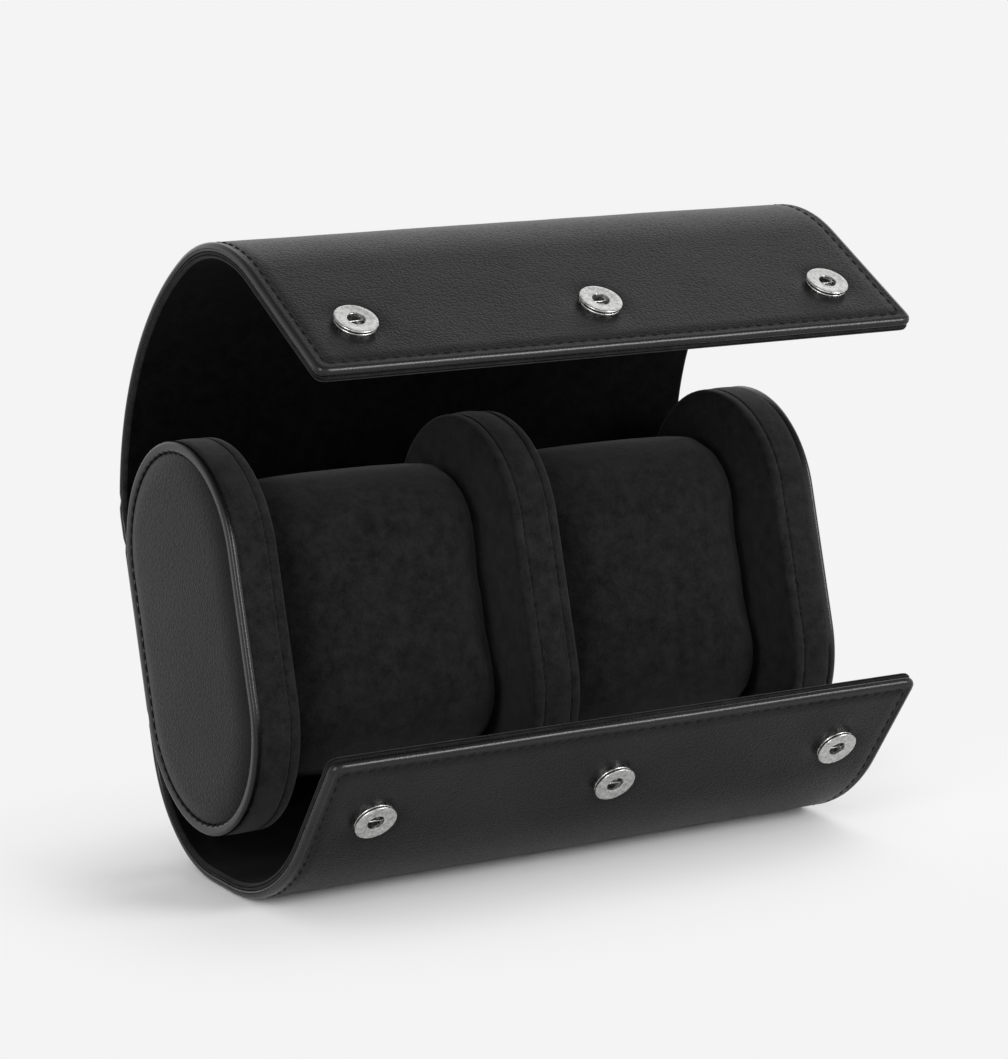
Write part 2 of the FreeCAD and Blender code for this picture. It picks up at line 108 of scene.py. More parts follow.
def hex_to_linear(code: str) -> tuple[float, float, float, float]:
    """Turn an sRGB hex colour into linear red, green, blue and alpha.

    Args:
        code: Six hex digits, with or without a leading hash.

    Returns:
        The linear colour with an alpha of 1.
    """
    digits = code.lstrip("#")
    shares = [int(digits[place:place + 2], 16) / 255 for place in (0, 2, 4)]
    linear = [c / 12.92 if c <= 0.04045 else ((c + 0.055) / 1.055) ** 2.4 for c in shares]
    return linear[0], linear[1], linear[2], 1.0


def add_node(tree: bpy.types.NodeTree, kind: str, options: dict[str, Any] | None = None,
             inputs: dict[str | int, Any] | None = None) -> bpy.types.Node:
    """Add a node, set its options and feed its inputs.

    Args:
        tree: The node tree.
        kind: The node's type, without its ShaderNode prefix.
        options: Values for the node's own properties.
        inputs: Values or other nodes' outputs, by the input's name or place.

    Returns:
        The new node.
    """
    made = tree.nodes.new("ShaderNode" + kind)
    for name, value in (options or {}).items():
        setattr(made, name, value)
    for name, value in (inputs or {}).items():
        if isinstance(value, bpy.types.NodeSocket):
            tree.links.new(value, made.inputs[name])
        else:
            made.inputs[name].default_value = value
    return made


def new_material(name: str) -> tuple[bpy.types.Material, bpy.types.NodeTree, bpy.types.NodeSocket]:
    """Start an empty node material.

    Args:
        name: The material's name.

    Returns:
        The material, its tree and the Object coordinates in it.
    """
    material = bpy.data.materials.new(name)
    material.use_nodes = True
    tree = material.node_tree
    tree.nodes.clear()
    coordinates = add_node(tree, "TexCoord")
    return material, tree, coordinates.outputs["Object"]


def end_material(tree: bpy.types.NodeTree, inputs: dict[str | int, Any]) -> None:
    """Close a material with one Principled shader.

    Args:
        tree: The material's tree.
        inputs: What the shader's sockets get.
    """
    shader = add_node(tree, "BsdfPrincipled", {}, inputs)
    add_node(tree, "OutputMaterial", {}, {"Surface": shader.outputs[0]})


@dataclass(frozen=True)
class Leather:
    """Coated split leather, embossed with a fine pebble grain: black, with a soft satin sheen."""

    name: str
    dark: str = "#0a0a0a"
    light: str = "#131314"
    roughness: float = 0.40
    roughness_swing: float = 0.14
    pebble: float = 0.55 * MM
    pore: float = 0.20 * MM
    cloud: float = 22 * MM
    relief: float = 0.10 * MM
    bump: float = 0.85
    gloss: float = 0.115
    pore_share: float = 0.45

    def material(self) -> bpy.types.Material:
        """Build the leather: pebbles parted by fine creases, pores on them, cloudy tone and gloss."""
        material, tree, place = new_material(self.name)
        pebbles = add_node(tree, "TexVoronoi", {"feature": "SMOOTH_F1"},
                           {"Vector": place, "Scale": 1 / self.pebble, "Smoothness": 0.35})
        pores = add_node(tree, "TexNoise", {}, {"Vector": place, "Scale": 1 / self.pore, "Detail": 3.0})
        clouds = add_node(tree, "TexNoise", {}, {"Vector": place, "Scale": 1 / self.cloud, "Detail": 4.0})
        height = add_node(tree, "Math", {"operation": "MULTIPLY_ADD"},
                          {0: pores.outputs["Fac"], 1: -self.pore_share, 2: pebbles.outputs["Distance"]})
        bump = add_node(tree, "Bump", {"invert": True},
                        {"Strength": self.bump, "Distance": self.relief, "Height": height.outputs[0]})
        tone = add_node(tree, "ValToRGB", {}, {"Fac": clouds.outputs["Fac"]})
        tone.color_ramp.elements[0].position = 0.35
        tone.color_ramp.elements[0].color = hex_to_linear(self.dark)
        tone.color_ramp.elements[1].position = 0.68
        tone.color_ramp.elements[1].color = hex_to_linear(self.light)
        low = self.roughness - self.roughness_swing / 2
        rough = add_node(tree, "MapRange", {}, {"Value": pebbles.outputs["Distance"], "From Max": 0.8,
                                                "To Min": low, "To Max": low + self.roughness_swing})
        end_material(tree, {"Base Color": tone.outputs["Color"], "Roughness": rough.outputs["Result"],
                            "Normal": bump.outputs["Normal"], "Specular IOR Level": self.gloss})
        return material


@dataclass(frozen=True)
class Microsuede:
    """Brushed polyester microfibre: deep black, no gloss, a short nap that shades in soft patches.

    Single fibres are too fine to show, so they are drawn as tufts.
    """

    name: str
    dark: str = "#050505"
    light: str = "#1d1d1d"
    patch: float = 3.5 * MM
    fibre: float = 0.32 * MM
    relief: float = 0.16 * MM
    bump: float = 0.8
    sheen: float = 0.30
    gloss: float = 0.12
    fibre_share: float = 0.55
    tone_range: tuple[float, float] = (0.61, 0.95)

    def material(self) -> bpy.types.Material:
        """Build the suede: brushed patches, with short fibres that break up tone and surface."""
        material, tree, place = new_material(self.name)
        patches = add_node(tree, "TexNoise", {},
                           {"Vector": place, "Scale": 1 / self.patch, "Detail": 6.0, "Roughness": 0.82})
        fibres = add_node(tree, "TexNoise", {},
                          {"Vector": place, "Scale": 1 / self.fibre, "Detail": 4.0, "Roughness": 0.75})
        mixed = add_node(tree, "Math", {"operation": "MULTIPLY_ADD"},
                         {0: fibres.outputs["Fac"], 1: self.fibre_share, 2: patches.outputs["Fac"]})
        low, high = self.tone_range
        tone = add_node(tree, "MapRange", {}, {"Value": mixed.outputs[0], "From Min": low, "From Max": high})
        colour = add_node(tree, "ValToRGB", {}, {"Fac": tone.outputs["Result"]})
        colour.color_ramp.elements[0].color = hex_to_linear(self.dark)
        colour.color_ramp.elements[1].color = hex_to_linear(self.light)
        bump = add_node(tree, "Bump", {}, {"Strength": self.bump, "Distance": self.relief,
                                           "Height": fibres.outputs["Fac"]})
        end_material(tree, {"Base Color": colour.outputs["Color"], "Roughness": 0.95,
                            "Specular IOR Level": self.gloss, "Sheen Weight": self.sheen,
                            "Sheen Roughness": 0.45, "Sheen Tint": hex_to_linear("#9c9c9c"),
                            "Normal": bump.outputs["Normal"]})
        return material


@dataclass(frozen=True)
class Thread:
    """Bonded polyester sewing thread, twisted and waxed: black with a dull gleam on its twist."""

    name: str
    dark: str = "#020203"
    light: str = "#0b0b0c"
    twist: float = 0.22 * MM

    def material(self) -> bpy.types.Material:
        """Build the thread: slanted bands of its twist in relief, and lighter bands in its colour as a
        painted gleam on the twist.
        """
        material, tree, place = new_material(self.name)
        bands = add_node(tree, "TexWave", {"wave_type": "BANDS", "bands_direction": "DIAGONAL"},
                         {"Vector": place, "Scale": 1 / (self.twist * 20), "Distortion": 1.5})
        # The lighter bands of the colour are a painted gleam on the twist.
        colour = add_node(tree, "ValToRGB", {}, {"Fac": bands.outputs["Fac"]})
        colour.color_ramp.elements[0].color = hex_to_linear(self.dark)
        colour.color_ramp.elements[1].color = hex_to_linear(self.light)
        bump = add_node(tree, "Bump", {}, {"Strength": 0.5, "Distance": 0.05 * MM,
                                           "Height": bands.outputs["Fac"]})
        end_material(tree, {"Base Color": colour.outputs["Color"], "Roughness": 0.75,
                            "Specular IOR Level": 0.2, "Normal": bump.outputs["Normal"]})
        return material


@dataclass(frozen=True)
class NickelPlate:
    """Stamped brass snap, nickel plated and tumbled: bright grey metal, clouded by fine dings."""

    name: str
    dark: str = "#8a8a89"
    light: str = "#c8c8c6"
    roughness: float = 0.18
    roughness_swing: float = 0.22
    ding: float = 0.9 * MM
    bump: float = 0.25

    def material(self) -> bpy.types.Material:
        """Build the plating: tone, gloss and small dents from one noise."""
        material, tree, place = new_material(self.name)
        dings = add_node(tree, "TexNoise", {}, {"Vector": place, "Scale": 1 / self.ding, "Detail": 4.0,
                                                "Roughness": 0.6})
        colour = add_node(tree, "ValToRGB", {}, {"Fac": dings.outputs["Fac"]})
        colour.color_ramp.elements[0].position = 0.3
        colour.color_ramp.elements[0].color = hex_to_linear(self.dark)
        colour.color_ramp.elements[1].position = 0.7
        colour.color_ramp.elements[1].color = hex_to_linear(self.light)
        gloss = add_node(tree, "MapRange", {},
                         {"Value": dings.outputs["Fac"], "From Min": 0.3, "From Max": 0.7,
                          "To Min": self.roughness, "To Max": self.roughness + self.roughness_swing})
        bump = add_node(tree, "Bump", {}, {"Strength": self.bump, "Distance": 0.06 * MM,
                                           "Height": dings.outputs["Fac"]})
        end_material(tree, {"Base Color": colour.outputs["Color"], "Metallic": 1.0,
                            "Roughness": gloss.outputs["Result"], "Normal": bump.outputs["Normal"]})
        return material


# Modelling by hand


def select_only(piece: bpy.types.Object) -> None:
    """Make one piece the active and only selected one."""
    bpy.ops.object.select_all(action="DESELECT")
    bpy.context.view_layer.objects.active = piece
    piece.select_set(True)


@contextmanager
def editing(piece: bpy.types.Object, pick: Pick = Pick.VERTS) -> Iterator[None]:
    """Hold one piece in edit mode, alone in the selection.

    Args:
        piece: The piece.
        pick: What is selected there.
    """
    select_only(piece)
    bpy.ops.object.mode_set(mode="EDIT")
    bpy.ops.mesh.select_mode(type=pick.value)
    yield
    bpy.ops.object.mode_set(mode="OBJECT")


def start_line(name: str, points: Sequence[Vector]) -> bpy.types.Object:
    """Draw a chain of edges: a plane is merged to one vertex, which is extruded from point to point.

    Args:
        name: The new piece's name.
        points: The chain's points.

    Returns:
        The new piece.
    """
    bpy.ops.object.select_all(action="DESELECT")
    bpy.ops.mesh.primitive_plane_add(size=MM)
    piece = bpy.context.active_object
    piece.name = name
    piece.data.name = name
    with editing(piece):
        bpy.ops.mesh.select_all(action="SELECT")
        bpy.ops.mesh.merge(type="CENTER")
        bpy.ops.transform.translate(value=points[0])
        for here, there in zip(points, points[1:]):
            bpy.ops.mesh.extrude_region_move(TRANSFORM_OT_translate={"value": there - here})
    return piece


def pull(move: Vector, steps: int) -> None:
    """Extrude what is selected along a straight, in equal steps."""
    for _ in range(steps):
        bpy.ops.mesh.extrude_region_move(TRANSFORM_OT_translate={"value": move / steps})


def turn(centre: Vector, axis: Vector, angle: float, steps: int) -> None:
    """Spin what is selected about an axis by the right-hand rule; the operator turns the other way."""
    bpy.ops.mesh.spin(steps=steps, angle=-angle, center=centre, axis=axis)


def close_up(piece: bpy.types.Object) -> None:
    """Merge doubles and turn all faces outwards."""
    with editing(piece):
        bpy.ops.mesh.select_all(action="SELECT")
        bpy.ops.mesh.remove_doubles(threshold=MERGE_DISTANCE)
        bpy.ops.mesh.normals_make_consistent(inside=False)


def apply_modifier(piece: bpy.types.Object, kind: str, settings: dict[str, Any]) -> None:
    """Add a modifier, set it and apply it.

    Args:
        piece: The piece.
        kind: The modifier's type.
        settings: Values for its properties.
    """
    select_only(piece)
    modifier = piece.modifiers.new(kind.lower(), kind)
    for name, value in settings.items():
        setattr(modifier, name, value)
    bpy.ops.object.modifier_apply(modifier=modifier.name)


def smooth(piece: bpy.types.Object, angle: float = SMOOTH_ANGLE) -> None:
    """Shade a piece smooth, apart from edges sharper than an angle."""
    select_only(piece)
    bpy.ops.object.shade_smooth_by_angle(angle=angle)


def copy_piece(piece: bpy.types.Object, name: str, place: Matrix) -> bpy.types.Object:
    """Copy a piece with a mesh of its own, moved in its mesh.

    Args:
        piece: The piece to copy.
        name: The copy's name.
        place: The move.

    Returns:
        The copy.
    """
    twin = piece.copy()
    twin.data = piece.data.copy()
    twin.name = name
    twin.data.name = name
    twin.data.transform(place)
    bpy.context.scene.collection.objects.link(twin)
    return twin


def join_copies(master: bpy.types.Object, name: str, places: Sequence[Matrix]) -> bpy.types.Object:
    """Copy a master to each place, join the copies to one piece and delete the master.

    Args:
        master: The piece that repeats.
        name: The joined piece's name.
        places: Where the copies stand.

    Returns:
        The joined piece.
    """
    copies = [copy_piece(master, f"{name}_copy", place) for place in places]
    bpy.data.objects.remove(master)
    select_only(copies[0])
    for twin in copies:
        twin.select_set(True)
    bpy.ops.object.join()
    joined = bpy.context.active_object
    joined.name = name
    joined.data.name = name
    return joined


def roll_edges(piece: bpy.types.Object, chosen: Callable[[bmesh.types.BMEdge], bool], radius: float,
               segments: int) -> None:
    """Bevel the chosen edges of a piece in edit mode; the new faces take its second material.

    Args:
        piece: The piece, held in edit mode.
        chosen: Tells whether an edge is rolled.
        radius: The bevel's width.
        segments: The bevel's steps.
    """
    mesh = bmesh.from_edit_mesh(piece.data)
    for edge in mesh.edges:
        edge.select_set(chosen(edge))
    mesh.select_flush_mode()
    bmesh.update_edit_mesh(piece.data)
    bpy.ops.mesh.bevel(offset=radius, offset_type="OFFSET", segments=segments, affect="EDGES", material=1)


def dress(piece: bpy.types.Object, material: bpy.types.Material, slot: str) -> None:
    """Give a piece its material, unless it has one, and log its face count and material."""
    if not piece.data.materials:
        piece.data.materials.append(material)
    LOG.info("%s: %d faces, %s", piece.name, len(piece.data.polygons), material.name)


# Section of the wrap


@dataclass(frozen=True)
class Run:
    """A stretch of the wrap's outer face that turns left with one radius, or is straight."""

    length: float
    radius: float = 0.0


@dataclass(frozen=True)
class Stop:
    """A place on the wrap's section: a point of the outer face and the heading there."""

    y: float
    z: float
    heading: float

    @property
    def along(self) -> Vector:
        """The way along the outer face, towards the upper front edge."""
        return Vector((0, math.cos(self.heading), math.sin(self.heading)))

    @property
    def inward(self) -> Vector:
        """The way from the outer face into the wrap."""
        return Vector((0, -math.sin(self.heading), math.cos(self.heading)))

    def point(self, x: float = 0.0, depth: float = 0.0) -> Vector:
        """A point at a distance along the case and at a depth under the outer face."""
        return Vector((x, self.y, self.z)) + self.inward * depth

    def ahead(self, run: Run, length: float) -> "Stop":
        """The place that lies further along a run.

        Args:
            run: The run on which this place lies.
            length: How far to go.

        Returns:
            The place there.
        """
        if not run.radius:
            end = self.point() + self.along * length
            return Stop(end.y, end.z, self.heading)
        after = self.heading + length / run.radius
        centre = self.point(depth=run.radius)
        return Stop(centre.y + math.sin(after) * run.radius, centre.z - math.cos(after) * run.radius, after)


@dataclass(frozen=True)
class Section:
    """The wrap's section: where it starts, its runs, and its folds as lengths from its start."""

    start: Stop
    runs: tuple[Run, ...]
    folds: dict[str, float]

    @property
    def length(self) -> float:
        """The whole length along the outer face."""
        return sum(run.length for run in self.runs)

    def run_start(self, place: int) -> float:
        """The length from the start at which a run begins."""
        return sum(run.length for run in self.runs[:place])

    def at(self, length: float) -> Stop:
        """The place at a length from the start."""
        stop = self.start
        for run in self.runs[:-1]:
            if length <= run.length:
                return stop.ahead(run, length)
            stop = stop.ahead(run, run.length)
            length -= run.length
        return stop.ahead(self.runs[-1], length)

    def between(self, first: float, last: float) -> Iterator[tuple[Run, Stop, float]]:
        """Walk the runs from one length to another.

        Args:
            first: The length where the walk starts.
            last: The length where it ends.

        Yields:
            Each run, the place where the walk enters it and the length walked on it.
        """
        passed = 0.0
        for run in self.runs:
            low, high = max(first, passed), min(last, passed + run.length)
            if high - low > MERGE_DISTANCE:
                yield run, self.at(low), high - low
            passed += run.length

    def measure(self, point: Vector) -> float:
        """The length from the start at which a point of the outer face lies."""
        best = (math.inf, 0.0)
        passed = 0.0
        stop = self.start
        for run in self.runs:
            if run.radius:
                centre = stop.point(depth=run.radius)
                angle = math.atan2(point.y - centre.y, centre.z - point.z) - stop.heading
                angle = math.remainder(angle - run.length / run.radius / 2, math.tau)
                along = angle * run.radius + run.length / 2
            else:
                along = (Vector((0, point.y, point.z)) - stop.point()).dot(stop.along)
            along = min(max(along, 0.0), run.length)
            near = stop.ahead(run, along).point()
            best = min(best, (math.hypot(point.y - near.y, point.z - near.z), passed + along))
            stop = stop.ahead(run, run.length)
            passed += run.length
        return best[1]


@dataclass(frozen=True)
class WrapSizes:
    """What the frame doesn't say about the wrap's section."""

    fold_depth: float = 2.4 * MM
    lower_reach: float = 26.3 * MM
    lower_radius: float = 41.0 * MM
    lower_turn: float = math.radians(55)
    lower_flat: float = 9.8 * MM
    base_radius: float = 31.0 * MM
    lean: float = math.radians(16)
    crease_radius: float = 7.0 * MM
    rear_radius: float = 70.5 * MM
    rear_turn: float = math.radians(60)
    crown_radius: float = 33.0 * MM
    crown_turn: float = math.radians(59.5)
    upper_reach: float = 35.0 * MM

    def section(self) -> Section:
        """Lay the section through the joints of the frame."""
        folds = {joint["child"]: Vector(joint["pos_m"]) for joint in frame["joints"] if "pos_m" in joint}
        half_crease = self.lean / 2
        bisector = math.pi / 2 - half_crease
        crease = folds[Body.UPPER_REAR.value] - Vector(
            (0, -math.sin(bisector), math.cos(bisector))) * (self.fold_depth / math.cos(half_crease))
        back_turn = math.pi / 2 - self.lean
        foot = crease.y - crease.z * math.tan(self.lean)
        corner = self.base_radius * math.tan(back_turn / 2)
        softened = self.crease_radius * math.tan(half_crease)
        base_fold = folds[Body.LOWER_BASE.value].y
        flat_start = base_fold - self.lower_flat
        flat = foot - corner - flat_start
        back = crease.z / math.cos(self.lean) - corner - softened
        arc = Stop(flat_start, 0.0, 0.0)
        arc = arc.ahead(Run(self.lower_radius * self.lower_turn, self.lower_radius),
                        -self.lower_radius * self.lower_turn)
        runs = (Run(self.lower_reach), Run(self.lower_radius * self.lower_turn, self.lower_radius),
                Run(flat), Run(self.base_radius * back_turn, self.base_radius), Run(back),
                Run(self.crease_radius * self.lean, self.crease_radius),
                Run(self.rear_radius * self.rear_turn - softened, self.rear_radius),
                Run(self.crown_radius * self.crown_turn, self.crown_radius), Run(self.upper_reach))
        section = Section(arc.ahead(Run(self.lower_reach), -self.lower_reach), runs, {})
        places = {name: section.measure(point) for name, point in folds.items()}
        return Section(section.start, runs, places)


# Wrap


@dataclass(frozen=True)
class Strip:
    """One piece of the wrap, from the middle of one strip to the middle of the next, with one fold in it."""

    name: str
    fold: Body
    before: Body
    after: Body
    first: float
    last: float
    half_zone: float
    strips: tuple[str, ...]


@dataclass(frozen=True)
class SnapLine:
    """Where a flap's row of snaps stands: the flap and its place along the section."""

    flap: str
    place: float


@dataclass
class Wrap:
    """The leather wrap with its turned edges, stitches and suede lining."""

    section: Section
    leather_finish: Leather
    edge_finish: Leather
    # The lining's suede is darker than the other suede: painted shade inside the wrap.
    lining_suede_painted_shade: Microsuede
    # The lining's rolled edges get lighter suede: painted sheen where the edges catch light.
    lining_edge_suede_painted_sheen: Microsuede
    thread_finish: Thread
    snap_lines: tuple[SnapLine, ...]
    snap_spacing: float
    stack: float = 1.9 * MM
    lining: float = 1.5 * MM
    lining_gap: float = 0.03 * MM
    lining_inset: float = 0.12 * MM
    edge_round: float = 1.2 * MM
    inner_round: float = 0.5 * MM
    lining_round: float = 0.6 * MM
    corner_radius: float = 2.4 * MM
    edge_rows: tuple[float, ...] = (0.0, 1.45 * MM)
    stitch_inset: float = 2.6 * MM
    stitch_pitch: float = 3.0 * MM
    stitch_length: float = 2.1 * MM
    stitch_width: float = 0.66 * MM
    stitch_slant: float = math.radians(7)
    stitch_rise: float = 0.1 * MM
    groove_depth: float = 0.26 * MM
    groove_half: float = 0.6 * MM
    dimple_depth: float = 1.15 * MM
    dimple_radius: float = 8.0 * MM
    fold_depth: float = 0.55 * MM
    fold_half: float = 1.5 * MM
    foot_line: float = 8.0 * MM
    crease_lines: tuple[float, float] = (-7.5 * MM, 3.0 * MM)
    wave_height: float = 0.16 * MM
    wave_length: float = 34.0 * MM
    ripple_height: float = 0.05 * MM
    ripple_length: float = 9.0 * MM
    row_step: float = 2.0 * MM
    guard: float = 0.2 * MM
    half_length: float = 0.0

    def __post_init__(self) -> None:
        """Take the case's length from the frame."""
        self.half_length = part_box("back_leather")[1].x

    def fold_lines(self) -> tuple[float, ...]:
        """Where the leather is pressed in across the case: at the foot of the back and beside the crease."""
        crease = self.section.folds[Body.UPPER_REAR.value]
        return self.section.run_start(4) + self.foot_line, *(crease + line for line in self.crease_lines)

    def strips(self) -> tuple[Strip, ...]:
        """Divide the wrap at the middles of its strips, so that each piece has one fold in it."""
        folds = self.section.folds
        table = (
            ("lower_front", Body.LOWER_FRONT, Body.LOWER_FRONT, Body.LOWER_BASE, 8 * MM, ("lower_front",)),
            ("base", Body.LOWER_BASE, Body.LOWER_BASE, Body.CASE, 5 * MM, ("lower_base",)),
            ("back", Body.UPPER_REAR, Body.CASE, Body.UPPER_REAR, 8 * MM, ("back",)),
            ("crown", Body.UPPER_CROWN, Body.UPPER_REAR, Body.UPPER_CROWN, 13 * MM,
             ("upper_rear", "upper_crown")),
            ("upper_front", Body.UPPER_FRONT, Body.UPPER_CROWN, Body.UPPER_FRONT, 10 * MM, ("upper_front",)),
        )
        places = [folds[fold.value] for _, fold, *_ in table]
        cuts = [0.0, *[(a + b) / 2 for a, b in zip(places, places[1:])], self.section.length]
        return tuple(Strip(name, fold, before, after, first, last, zone, strips)
                     for (name, fold, before, after, zone, strips), first, last in zip(table, cuts, cuts[1:]))

    def from_edge(self, x: float, along: float) -> float:
        """How far a place lies from the wrap's edge, whose free corners are round."""
        side = self.half_length - abs(x)
        front = min(along, self.section.length - along)
        radius = self.corner_radius
        if side < radius and front < radius:
            return radius - math.hypot(radius - side, radius - front)
        return min(side, front)

    def relief(self, x: float, along: float) -> float:
        """How far the leather stands out at a place: soft waves, stitch grooves, hollows at the snaps.

        Args:
            x: The place along the case.
            along: The place along the section.

        Returns:
            The height over the smooth face, which is negative in a hollow.
        """
        wave = noise.noise(Vector((x, along, 0)) / self.wave_length) * self.wave_height
        ripple = noise.noise(Vector((x, along, self.wave_length)) / self.ripple_length) * self.ripple_height
        from_edge = self.from_edge(x, along)
        groove = max(0.0, 1 - abs(from_edge - self.stitch_inset) / self.groove_half) * self.groove_depth
        hollow = 0.0
        for line in self.snap_lines:
            for step in (-1, 0, 1):
                away = math.hypot(x - step * self.snap_spacing, along - line.place) / self.dimple_radius
                if away < 1:
                    hollow = max(hollow, (1 - away * away) ** 2 * self.dimple_depth)
        nearest = min(abs(along - line) for line in self.fold_lines())
        pressed = max(0.0, 1 - nearest / self.fold_half) * self.fold_depth
        edge_share = max(0.0, min(1.0, from_edge / self.stitch_inset))
        return (wave + ripple) * edge_share - groove - hollow - pressed

    def columns(self, inset: float, rows: Sequence[float]) -> list[float]:
        """Where the sheet's columns lie along the case: close together at its ends.

        Args:
            inset: How far the sheet stays inside the case's ends.
            rows: Distances from the sheet's end that get a column.

        Returns:
            The places along X.
        """
        half = self.half_length - inset
        inner = half - rows[-1]
        count = math.ceil(2 * inner / self.row_step)
        middle = [inner * (2 * step / count - 1) for step in range(count + 1)]
        ends = [half - row for row in rows[:-1]]
        return [-x for x in ends] + middle + ends[::-1]

    def sheet(self, name: str, strip: Strip, depth: float, inset: float,
              rows: Sequence[float]) -> bpy.types.Object:
        """Sweep a row of columns along the section, at a depth under the outer face.

        Args:
            name: The new piece's name.
            strip: The stretch of the wrap.
            depth: The sheet's depth under the outer face.
            inset: How far it stays inside the wrap's free edges.
            rows: Distances from a free edge that get a row of their own.

        Returns:
            The open sheet.
        """
        free_start, free_end = strip.first == 0, strip.last == self.section.length
        first = strip.first + (inset if free_start else 0)
        last = strip.last - (inset if free_end else 0)
        stops = [first, last]
        stops += [first + row for row in rows] if free_start else [first + self.guard]
        stops += [last - row for row in rows] if free_end else [last - self.guard]
        for line in self.fold_lines():
            stops += [line + step * self.fold_half for step in (-1, 0, 1)
                      if first < line + step * self.fold_half < last]
        stops = sorted({round(stop, 7) for stop in stops})
        begin = self.section.at(first)
        piece = start_line(name, [begin.point(x, depth) for x in self.columns(inset, rows)])
        with editing(piece, Pick.EDGES):
            bpy.ops.mesh.select_all(action="SELECT")
            for low, high in zip(stops, stops[1:]):
                for run, stop, length in self.section.between(low, high):
                    steps = max(1, math.ceil(length / self.row_step))
                    if run.radius:
                        centre = stop.point(depth=run.radius)
                        turn(centre, Vector((1, 0, 0)), length / run.radius, steps)
                    else:
                        pull(stop.along * length, steps)
            bpy.ops.mesh.select_all(action="SELECT")
            bpy.ops.mesh.remove_doubles(threshold=MERGE_DISTANCE)
            bpy.ops.mesh.normals_make_consistent(inside=False)
            mesh = bmesh.from_edit_mesh(piece.data)
            mesh.faces.ensure_lookup_table()
            face = mesh.faces[0]
            spot = self.section.at(self.section.measure(face.calc_center_median()))
            if face.normal.dot(spot.inward) > 0:
                bpy.ops.mesh.flip_normals()
        return piece

    def round_corners(self, piece: bpy.types.Object, depth: float, inset: float) -> None:
        """Draw the open sheet's free corners in to quarter circles.

        Args:
            piece: The open sheet.
            depth: Its depth under the outer face.
            inset: How far it stays inside the wrap's free edges.
        """
        radius = self.corner_radius - inset
        length = self.section.length
        for vert in piece.data.vertices:
            along = self.section.measure(vert.co)
            at_start = along < length / 2
            side = radius - (self.half_length - inset - abs(vert.co.x))
            front = radius - ((along if at_start else length - along) - inset)
            if side <= 0 or front <= 0:
                continue
            share = max(side, front) / math.hypot(side, front)
            x = math.copysign(self.half_length - inset - radius + side * share, vert.co.x)
            reach = inset + radius - front * share
            vert.co = self.section.at(reach if at_start else length - reach).point(x, depth)
        piece.data.update()

    def thicken(self, piece: bpy.types.Object, strip: Strip, wall: float,
                rounds: tuple[float, float]) -> None:
        """Give the sheet its wall and roll its free edges, which take the piece's second material.

        Args:
            piece: The open sheet.
            strip: The stretch of the wrap.
            wall: The wall's thickness.
            rounds: The radii of the rolled edges, outside and inside.
        """
        cuts = [self.section.at(place) for place in (strip.first, strip.last)
                if 0 < place < self.section.length]
        rims = []
        shape = bmesh.new()
        shape.from_mesh(piece.data)
        count = len(shape.verts)
        for edge in shape.edges:
            on_cut = any(all(abs((vert.co - cut.point(vert.co.x)).dot(cut.along)) < MERGE_DISTANCE * 5
                             and (vert.co - cut.point(vert.co.x)).length < 10 * MM for vert in edge.verts)
                         for cut in cuts)
            if edge.is_boundary and not on_cut:
                rims.append(tuple(vert.index for vert in edge.verts))
        shape.free()
        apply_modifier(piece, "SOLIDIFY", {"thickness": wall, "offset": -1.0, "use_even_offset": True})
        outer_rim = {frozenset(pair) for pair in rims}
        inner_rim = {frozenset(index + count for index in pair) for pair in rims}
        with editing(piece, Pick.EDGES):
            mesh = bmesh.from_edit_mesh(piece.data)
            for edge in mesh.edges:
                edge.seam = frozenset(vert.index for vert in edge.verts) in inner_rim
            roll_edges(piece, lambda edge: frozenset(vert.index for vert in edge.verts) in outer_rim,
                       rounds[0], 5)
            roll_edges(piece, lambda edge: edge.seam, rounds[1], 3)
            bpy.ops.mesh.select_all(action="SELECT")
            bpy.ops.mesh.mark_seam(clear=True)
        smooth(piece)

    def shape_leather(self, piece: bpy.types.Object) -> None:
        """Give the open leather sheet its relief."""
        normals = [vert.normal.copy() for vert in piece.data.vertices]
        for vert, normal in zip(piece.data.vertices, normals):
            vert.co += normal * self.relief(vert.co.x, self.section.measure(vert.co))
        piece.data.update()

    def bend(self, piece: bpy.types.Object, strip: Strip) -> None:
        """Bake a piece's place into its mesh; the ends of its fold's zone are worked out but not used."""
        fold = self.section.folds[strip.fold.value]
        depth = self.stack / 2
        self.section.at(fold - strip.half_zone).point(depth=depth)
        self.section.at(fold + strip.half_zone).point(depth=depth)
        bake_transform(piece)

    def stitch(self) -> bpy.types.Object:
        """Model one stitch: a small ball, drawn out along Y, with its ends pulled into the leather."""
        bpy.ops.object.select_all(action="DESELECT")
        bpy.ops.mesh.primitive_uv_sphere_add(segments=8, ring_count=6, radius=0.5)
        master = bpy.context.active_object
        with editing(master):
            bpy.ops.mesh.select_all(action="SELECT")
            bpy.ops.transform.rotate(value=math.pi / 2, orient_axis="X", center_override=(0, 0, 0))
            bpy.ops.transform.resize(value=(self.stitch_width, self.stitch_length, self.stitch_width),
                                     center_override=(0, 0, 0))
            mesh = bmesh.from_edit_mesh(master.data)
            for vert in mesh.verts:
                reach = vert.co.y / (self.stitch_length / 2)
                vert.co.z = vert.co.z * 0.8 - self.stitch_width * 0.3 * reach * reach
            bmesh.update_edit_mesh(master.data)
        smooth(master, math.pi)
        return master

